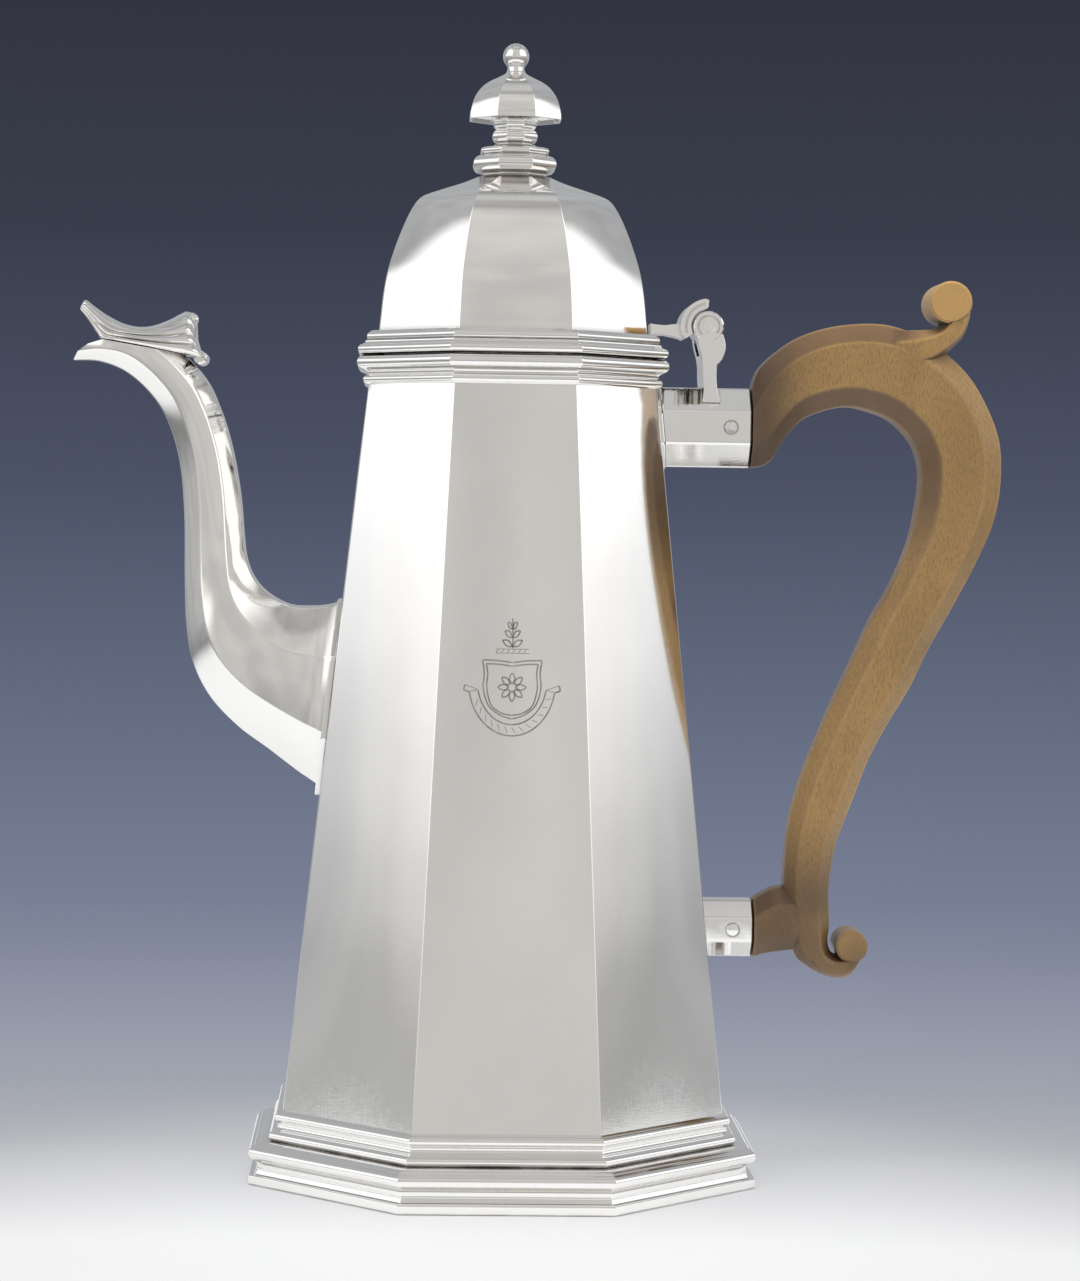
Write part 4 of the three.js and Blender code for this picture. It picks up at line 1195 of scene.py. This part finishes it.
# Inside point, outside point, half thickness and flat share along the grip.
GRIP_STATIONS = [
    (by_upper(0.3, -9), by_upper(0.3, 9), 9, 0.42),
    (by_upper(4.6, -7.6), by_upper(2, 13.4), 8.5, 0.45),
    (by_upper(8.6, -1.3), by_upper(6.3, 17.6), 7.9, 0.5),
    (by_upper(13.2, 2.8), by_upper(12, 21.2), 7.5, 0.52),
    (by_upper(21.5, 5.2), by_upper(20.6, 23.5), 7.5, 0.55),
    (by_upper(27.8, 4.1), by_upper(30.8, 23.7), 7.5, 0.55),
    (by_upper(32.1, 2.3), by_upper(39.8, 20.4), 7.5, 0.55),
    (by_upper(35.3, -0.5), by_upper(47.2, 14.9), 7.5, 0.55),
    (by_upper(37.5, -3.5), by_upper(52.3, 8.3), 7.5, 0.55),
    (by_upper(38.9, -8), by_upper(56.5, -1.5), 7.5, 0.55),
    (by_upper(39, -12.5), by_upper(57.1, -11.5), 7.5, 0.55),
    (by_upper(38.3, -18), by_upper(55.7, -20.2), 7.5, 0.54),
    (by_upper(36.7, -25.5), by_upper(52.2, -28.9), 7.5, 0.53),
    (by_upper(33, -34.5), by_upper(46.8, -39.6), 7.3, 0.52),
    (by_upper(28.5, -42.6), by_upper(41.6, -49.1), 7.1, 0.5),
    (by_lower(22.1, 61.6), by_lower(35, 55.1), 6.9, 0.5),
    (by_lower(17.7, 51.8), by_lower(30.1, 46.7), 6.7, 0.5),
    (by_lower(14.1, 43), by_lower(26, 38.7), 6.5, 0.5),
    (by_lower(11, 34.8), by_lower(23.3, 31.5), 6.4, 0.5),
    (by_lower(9, 28), by_lower(20.8, 24.9), 6.3, 0.5),
    (by_lower(7.9, 22), by_lower(19, 19.7), 6.3, 0.5),
    (by_lower(7.3, 14.5), by_lower(17.9, 13.7), 6.3, 0.5),
    (by_lower(7.2, 7.5), by_lower(17.4, 8), 6.3, 0.5),
    (by_lower(7.8, 0.5), by_lower(17.7, 1.5), 6.3, 0.5),
    (by_lower(10, -6.1), by_lower(17.4, -2.5), 6.2, 0.5),
    (by_lower(12.6, -8.4), by_lower(17.9, -4.6), 6, 0.45),
    (by_lower(15.9, -10.3), by_lower(18.9, -5.8), 5.8, 0.5),
    (by_lower(19.7, -11.2), by_lower(20.2, -6.1), 5.6, 0.55),
    (by_lower(22.8, -10.3), by_lower(21.7, -5.6), 5.45, 0.6),
    (by_lower(25, -7.2), by_lower(22.5, -4.6), 5.1, 0.65),
    (by_lower(25.7, -4.6), by_lower(22.6, -3.8), 4.7, 0.7),
]

# The short block between the lower socket and the grip.
BLOCK_STATIONS = [
    (by_lower(0.3, -6.65), by_lower(0.3, 6.65), 6.65, 0.42),
    (by_lower(3, -5.8), by_lower(3, 8.2), 6.3, 0.46),
    (by_lower(6, -5.3), by_lower(6, 9.4), 6.1, 0.5),
    (by_lower(12, -4.5), by_lower(11, 9), 6.1, 0.5),
]

# The stem that carries the thumb scroll out of the top of the grip.
THUMB_STATIONS = [
    (by_upper(29, 22), by_upper(32, 12), 7, 0.5),
    (by_upper(35, 22.6), by_upper(38, 13), 7.46, 0.5),
    (by_upper(39, 22.8), by_upper(41.5, 15), 7.52, 0.52),
    (by_upper(42, 23.2), by_upper(44.9, 18.2), 7.52, 0.58),
    (by_upper(43.7, 24.6), by_upper(47.7, 21.3), 7.45, 0.65),
    (by_upper(44.2, 26.9), by_upper(49.1, 25.3), 7.3, 0.7),
    (by_upper(44.8, 28.9), by_upper(49.3, 28.9), 7, 0.75),
]


class POT_OT_handle(bpy.types.Operator):
    """Carved wooden handle: chamfered grip, block by the lower socket, thumb scroll and tail scroll"""

    bl_idname = "pot.handle"
    bl_label = "Handle"

    thumb: bpy.props.FloatProperty(name="Thumb scroll", description="Radius, mm", default=4.75)
    tail: bpy.props.FloatProperty(name="Tail scroll", description="Radius, mm", default=3.65)

    def execute(self, context):
        handle = self.limb("carved_handle", GRIP_STATIONS, 7)
        for tool in (
            self.limb("block", BLOCK_STATIONS, 5),
            self.limb("thumb_stem", THUMB_STATIONS, 6),
            self.roll("thumb_roll", by_upper(44.6, 28.9), self.thumb, 2 * 7.55),
            self.roll("tail_roll", by_lower(22.6, -3.7), self.tail, 2 * 5.75),
        ):
            combine(handle, tool, "UNION")
        hand_over(handle, wood(), "pot", "boxwood", "handle", crease=40)
        return {"FINISHED"}

    def limb(self, name, stations, steps):
        rows = [(*under, *upper, half, flat) for under, upper, half, flat in stations]
        rings = []
        for row in rounded_line(rows, steps):
            corners = eight_sided(row[0:2], row[2:4], row[4], row[5])
            rings.append(soften(corners, sizes().wood_edge))
        return solid(name, skin(rings))

    def roll(self, name, centre, radius, width):
        edge = 0.5
        half = width / 2
        line = [(0, -half), (radius - edge, -half), (radius, -half + edge)]
        line += [(r, -y) for r, y in reversed(line)]
        return turned_along_y(name, line, centre[0], centre[1], 48)


# ------------------------------------------------------------------ the lid hinge


def by_pin(x, z):
    """A point (x, z) counted from the middle of the hinge pin."""
    return (HINGE.x + x, HINGE.z + z)


def around_pin(radius, degrees):
    return by_pin(radius * math.cos(math.radians(degrees)), radius * math.sin(math.radians(degrees)))


class POT_OT_hinge(bpy.types.Operator):
    """Lid hinge: post with its cupped leaf, the lid's arm with its hooked leaf, and the pin"""

    bl_idname = "pot.hinge"
    bl_label = "Hinge"

    width: bpy.props.FloatProperty(name="Width", description="Width along the pin, mm", default=15)
    knuckle: bpy.props.FloatProperty(name="Knuckle", description="Radius, mm", default=3.45)
    lid_knuckle: bpy.props.FloatProperty(name="Lid knuckle", description="Width, mm", default=5.6)

    def execute(self, context):
        self.post()
        self.arm()
        self.pin()
        return {"FINISHED"}

    def barrel(self, name, start, end, groove):
        """A knuckle; a groove turned in its outer end leaves a ring round the pin."""
        r = self.knuckle
        line = [(0, start)]
        if groove < 0:
            line += [(2.1, start), (2.15, start + 0.5), (2.5, start + 0.5), (2.6, start)]
        line += [(r - 0.3, start), (r, start + 0.3)]
        back = [(r, end - 0.3), (r - 0.3, end)]
        if groove > 0:
            back += [(2.6, end), (2.5, end - 0.5), (2.15, end - 0.5), (2.1, end)]
        return turned_along_y(name, line + back + [(0, end)], HINGE.x, HINGE.z, 56)

    def post(self):
        foot = low("hinge_post").z - HINGE.z
        line = rounded_line([
            (-2.6, -2.2), (-2.2, -4.4), (-1.6, -6.6), (-1.3, -8.6), (-1.2, -11.5), (-0.95, -14.2),
            (-1.1, foot + 1),
        ], 4)
        line += [(-1.3, foot), (3, foot)]
        line += rounded_line([(2.7, foot + 1.2), (2.2, -14.2), (1.95, -11.2), (2, -8.6)], 4)
        line += rounded_line([(2.5, -8.1), (3.25, -7.1), (3.9, -4.9), (3.7, -3), (3.2, -1.6)], 4)
        line += [(0, -0.9)]
        post = side_plate("hinge_post_shaft", [by_pin(*p) for p in line], self.width)
        soft_edges(post, 0.35)
        half = self.width / 2
        side = self.lid_knuckle / 2 + 0.3
        slot = turned_along_y("slot", [(0, -side), (6.6, -side), (6.6, side), (0, side)], HINGE.x, HINGE.z)
        combine(post, slot, "DIFFERENCE")
        start, end = side - 0.05, half + 0.06
        combine(post, self.barrel("near", -end, -start, -1), "UNION")
        combine(post, self.barrel("far", start, end, 1), "UNION")
        apothem = apothem_of("upper_handle_socket") + 0.15
        rings = [octagon_along_x(HINGE.x + reach, apothem, UPPER_SOCKET_Z) for reach in (-15, 15)]
        combine(post, solid("socket_tool", skin(rings)), "DIFFERENCE")
        hand_over(post, silver(), "pot", "silver", "hinge_post")

    def arm(self):
        root = low("lid_hinge_arm").x - AXIS_X
        start = root - HINGE.x + 0.5
        bar = [(start, -2.3), (-14.4, -2.2), (-12, -1.85), (-9.6, -1.7), (-7.4, -2.1), (-5.6, -2.6)]
        bar += [(-5.2, -1.2), (-5.6, 0.6), (-7.4, 0.6), (-9.6, 0.3), (-12, 0.5), (-14.4, 1), (start, 1.1)]
        arm = side_plate("lid_arm", [by_pin(*p) for p in bar], 8)
        soft_edges(arm, 0.3)
        plate = [(root, DOME_FOOT + 0.05), (root + 1.1, DOME_FOOT + 0.05), (root + 0.95, DOME_FOOT + 4)]
        plate += [(root, DOME_FOOT + 4.9)]
        back = side_plate("root_plate", plate, 12)
        soft_edges(back, 0.25)
        combine(arm, back, "UNION")
        inner, outer = self.knuckle + 0.42, self.knuckle + 2.8
        hook = [around_pin(outer - 0.35, 90)]
        hook += [around_pin(outer, a) for a in range(96, 204, 6)]
        hook += [around_pin(outer - 0.4, 207)]
        hook += [around_pin(inner + 0.3, 207)]
        hook += [around_pin(inner, a) for a in range(204, 96, -6)]
        hook += [around_pin(inner + 0.35, 91)]
        leaf = side_plate("hook", hook, self.width)
        soft_edges(leaf, 0.3)
        for side in (-1, 1):
            groove = [around_pin(inner + 1.5, a) for a in range(100, 200, 6)]
            groove += [around_pin(inner + 0.95, a) for a in range(198, 98, -6)]
            cutter = side_plate("groove", groove, 1, side * self.width / 2)
            combine(leaf, cutter, "DIFFERENCE")
        combine(arm, leaf, "UNION")
        half = self.lid_knuckle / 2
        web = [around_pin(1.6, 100), around_pin(outer - 1, 110), around_pin(outer - 1, 150)]
        web += [around_pin(outer - 1, 200), around_pin(1.6, 215)]
        combine(arm, side_plate("web", web, self.lid_knuckle), "UNION")
        combine(arm, self.barrel("middle", -half, half, 0), "UNION")
        bore = [(0, -half - 1), (1.5, -half - 1), (1.5, half + 1), (0, half + 1)]
        combine(arm, turned_along_y("pin_bore", bore, HINGE.x, HINGE.z), "DIFFERENCE")
        hand_over(arm, silver(), "lid", "silver", "lid_hinge_arm")

    def pin(self):
        half = self.width / 2
        line = [(0, -half - 0.18), (0.75, -half - 0.12), (0.8, -half + 0.05), (1.05, -half + 0.05)]
        line += [(1.1, -half - 0.1), (1.8, -half - 0.05), (2, -half + 0.1), (1.35, -half + 0.2)]
        line += [(r, -y) for r, y in reversed(line)]
        pin = turned_along_y("hinge_rivet", line, HINGE.x, HINGE.z, 40)
        hand_over(pin, silver(), "pot", "silver", "hinge_pin")


# ------------------------------------------------------------------ inner pieces


class POT_OT_inner_pieces(bpy.types.Operator):
    """Finish of the frame's own inner pieces: base plate, bezel and the finial's stud"""

    bl_idname = "pot.inner_pieces"
    bl_label = "Inner pieces"

    def execute(self, context):
        for name in ("base_plate", "lid_bezel", "finial_stud", "finial_washer", "finial_nut"):
            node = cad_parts[name]
            node.data.materials.clear()
            node.data.materials.append(inner_silver())
        return {"FINISHED"}


# ------------------------------------------------------------------ the stage


# Backdrop: place up the backdrop, from low to high, and the colour there.
BACKDROP = [
    (0.0, (0.9, 0.9, 0.9)), (0.07, (0.87, 0.87, 0.87)), (0.1, (0.66, 0.66, 0.69)),
    (0.14, (0.445, 0.455, 0.485)), (0.18, (0.356, 0.376, 0.434)), (0.23, (0.29, 0.31, 0.39)),
    (0.27, (0.235, 0.255, 0.34)), (0.31, (0.19, 0.215, 0.3)), (0.44, (0.13, 0.153, 0.223)),
    (0.61, (0.073, 0.084, 0.133)), (0.79, (0.042, 0.048, 0.072)), (1.0, (0.031, 0.031, 0.047)),
]
CAMERA_PLACE = (AXIS_X - 23.5, -797.3, 148.8)  # mm
CAMERA_TURNS = (-2.218, 90 - 2.071, 0.883)  # pan, pitch and roll, degrees


class POT_OT_stage(bpy.types.Operator):
    """Pale floor, soft studio light and the camera"""

    bl_idname = "pot.stage"
    bl_label = "Stage"

    def execute(self, context):
        context.scene.view_settings.view_transform = "Standard"
        self.floor()
        self.tent(context.scene)
        self.lamps()
        self.camera(context.scene)
        return {"FINISHED"}

    def floor(self):
        studio = bpy.context.scene.pot_studio
        sides = 96
        turns = [2 * math.pi * i / sides for i in range(sides)]
        radii = (0.001, 0.3, 0.6, 0.9, 1.2)
        rings = [[Vector((r * math.cos(t), r * math.sin(t), 0)) for t in turns] for r in radii]
        points, faces = skin(rings, capped=False)
        mesh = bpy.data.meshes.new("studio_floor")
        mesh.from_pydata(points, [], faces + [tuple(range(sides))])
        floor = bpy.data.objects.new("studio_floor", mesh)
        bpy.context.scene.collection.objects.link(floor)
        material, nodes = new_material("pale_floor")
        place = nodes.add("ShaderNodeTexCoord").outputs["Object"]
        shifted = nodes.add("ShaderNodeVectorMath", {0: place, 1: (0, 0.05, 0)}, operation="ADD").outputs[0]
        away = nodes.add("ShaderNodeVectorMath", {0: shifted}, operation="LENGTH").outputs["Value"]
        grain = nodes.noise(place, 900, 2, 0.5)
        pale = nodes.mix(grain, rgba([c * 0.985 for c in studio.floor]), rgba(studio.floor))
        cloth = nodes.add("ShaderNodeBsdfPrincipled", {"Base Color": pale, "Roughness": 0.55})
        clear = nodes.add("ShaderNodeBsdfTransparent")
        path = nodes.add("ShaderNodeLightPath").outputs["Is Camera Ray"]
        seen = nodes.ramp(away, 0.05, 0.17, 0.55, 1.0)
        lit = nodes.ramp(away, 0.34, 0.55)
        fade = nodes.add("ShaderNodeMix", {0: path, 2: lit, 3: seen}, data_type="FLOAT").outputs[0]
        both = nodes.add("ShaderNodeMixShader", {0: fade, 1: cloth.outputs[0], 2: clear.outputs[0]})
        nodes.add("ShaderNodeOutputMaterial", {"Surface": both.outputs[0]})
        mesh.materials.append(material)

    def tent(self, scene):
        """Light all round, with a broad soft panel on either side and a plain backdrop."""
        world = bpy.data.worlds.new("studio")
        world.use_nodes = True
        scene.world = world
        nodes = Nodes(world.node_tree)
        way = nodes.add("ShaderNodeTexCoord").outputs["Generated"]
        x, y, z = nodes.add("ShaderNodeSeparateXYZ", {0: way}).outputs
        level = nodes.ramp(y, -0.5, 0.6, 0.6, 0.44)
        level = nodes.math("MULTIPLY", level, nodes.ramp(nodes.noise(way, 2.2, 2, 0.5), 0.3, 0.7, 0.93, 1.07))
        level = nodes.math("MULTIPLY", level, nodes.ramp(nodes.noise(way, 9, 1, 0.5), 0.3, 0.7, 0.94, 1.06))
        level = nodes.math("MULTIPLY", level, nodes.ramp(z, -0.3, -0.02, 0.6, 1.0))
        aside = nodes.math("ABSOLUTE", x)
        level = nodes.math("MULTIPLY", level, nodes.ramp(aside, 0.5, 0.95, 1.0, 0.86))
        band = nodes.math("MULTIPLY", nodes.ramp(z, 0.84, 0.88), nodes.ramp(z, 0.97, 0.93))
        level = nodes.math("MULTIPLY", level, nodes.math("SUBTRACT", 1.0, nodes.math("MULTIPLY", band, 0.3)))
        glow = level
        for side in (-1, 1):
            out = nodes.math("MAXIMUM", nodes.math("MULTIPLY", x, float(side)), 0.02)
            back = nodes.math("DIVIDE", y, out)
            rise = nodes.math("DIVIDE", z, out)
            edge = nodes.math("ADD", back, nodes.math("MULTIPLY", rise, 0.5))
            panel = nodes.ramp(edge, 0.37, 0.53, 1.0, 0.0)
            panel = nodes.math("MULTIPLY", panel, nodes.ramp(back, -1.8, -1.2))
            panel = nodes.math("MULTIPLY", panel, nodes.ramp(rise, -0.01, 0.2))
            panel = nodes.math("MULTIPLY", panel, nodes.ramp(rise, 0.9, 2.3, 1.0, 0.0))
            panel = nodes.math("MULTIPLY", panel, nodes.ramp(out, 0.05, 0.2))
            lit = nodes.math("MULTIPLY", panel, nodes.math("SUBTRACT", 1.25, level))
            glow = nodes.math("ADD", glow, lit)
        warm = nodes.ramp(y, -0.6, 0.6, 1.0, 0.0)
        tint = nodes.mix(warm, (0.97, 0.99, 1.03, 1), (1.02, 1.0, 0.975, 1))
        light = nodes.add("ShaderNodeBackground", {"Color": tint, "Strength": glow})

        slate = nodes.add("ShaderNodeValToRGB", {0: nodes.ramp(z, -0.23, 0.16, smooth=False)})
        ramp = slate.color_ramp
        for place, _ in BACKDROP[1:-1]:
            ramp.elements.new(place)
        for element, (place, colour) in zip(ramp.elements, BACKDROP):
            element.position = place
            element.color = rgba(colour)
        backdrop = nodes.add("ShaderNodeBackground", {"Color": slate.outputs[0], "Strength": 1.0})
        seen = nodes.add("ShaderNodeLightPath").outputs["Is Camera Ray"]
        both = nodes.add("ShaderNodeMixShader", {0: seen, 1: light.outputs[0], 2: backdrop.outputs[0]})
        nodes.add("ShaderNodeOutputWorld", {"Surface": both.outputs[0]})

    def lamps(self):
        studio = bpy.context.scene.pot_studio
        lamp = bpy.data.lights.new("overhead", "AREA")
        lamp.shape = "RECTANGLE"
        lamp.size, lamp.size_y = 1.0, 0.8
        lamp.energy = studio.overhead
        light = bpy.data.objects.new("overhead", lamp)
        light.location = (0, -0.15, 1.1)
        light.visible_glossy = False
        bpy.context.scene.collection.objects.link(light)

    def camera(self, scene):
        lens = bpy.data.cameras.new("camera")
        lens.lens = scene.pot_studio.lens
        lens.sensor_width = 36
        camera = bpy.data.objects.new("camera", lens)
        place = Vector(CAMERA_PLACE) * MM
        pan, pitch, roll = (math.radians(a) for a in CAMERA_TURNS)
        turn = Matrix.Rotation(pan, 4, "Z") @ Matrix.Rotation(pitch, 4, "X") @ Matrix.Rotation(roll, 4, "Z")
        camera.matrix_world = Matrix.Translation(place) @ turn
        scene.collection.objects.link(camera)
        scene.camera = camera


# ------------------------------------------------------------------ the add-on

PIECES = (
    POT_OT_foot,
    POT_OT_body,
    POT_OT_engraving,
    POT_OT_lid,
    POT_OT_finial,
    POT_OT_spout,
    POT_OT_sockets,
    POT_OT_handle,
    POT_OT_hinge,
    POT_OT_inner_pieces,
    POT_OT_stage,
)


class POT_PT_panel(bpy.types.Panel):
    """Lists the pieces in the order they are made"""

    bl_label = "Coffee Pot"
    bl_idname = "POT_PT_panel"
    bl_space_type = "VIEW_3D"
    bl_region_type = "UI"
    bl_category = "Coffee Pot"

    def draw(self, context):
        layout = self.layout
        for group in (context.scene.pot_sizes, context.scene.pot_finish, context.scene.pot_studio):
            box = layout.box()
            for name in group.bl_rna.properties.keys():
                if name not in ("rna_type", "name"):
                    box.prop(group, name)
        for piece in PIECES:
            layout.operator(piece.bl_idname)


GROUPS = (PotSizes, PotFinish, StudioSettings)
CLASSES = (*GROUPS, *PIECES, POT_PT_panel)


def register():
    for cls in CLASSES:
        bpy.utils.register_class(cls)
    bpy.types.Scene.pot_sizes = bpy.props.PointerProperty(type=PotSizes)
    bpy.types.Scene.pot_finish = bpy.props.PointerProperty(type=PotFinish)
    bpy.types.Scene.pot_studio = bpy.props.PointerProperty(type=StudioSettings)


def unregister():
    del bpy.types.Scene.pot_sizes
    del bpy.types.Scene.pot_finish
    del bpy.types.Scene.pot_studio
    for cls in reversed(CLASSES):
        bpy.utils.unregister_class(cls)


def main():
    register()
    for piece in PIECES:
        getattr(bpy.ops.pot, piece.bl_idname.split(".")[1])()


if __name__ == "__main__":
    main()
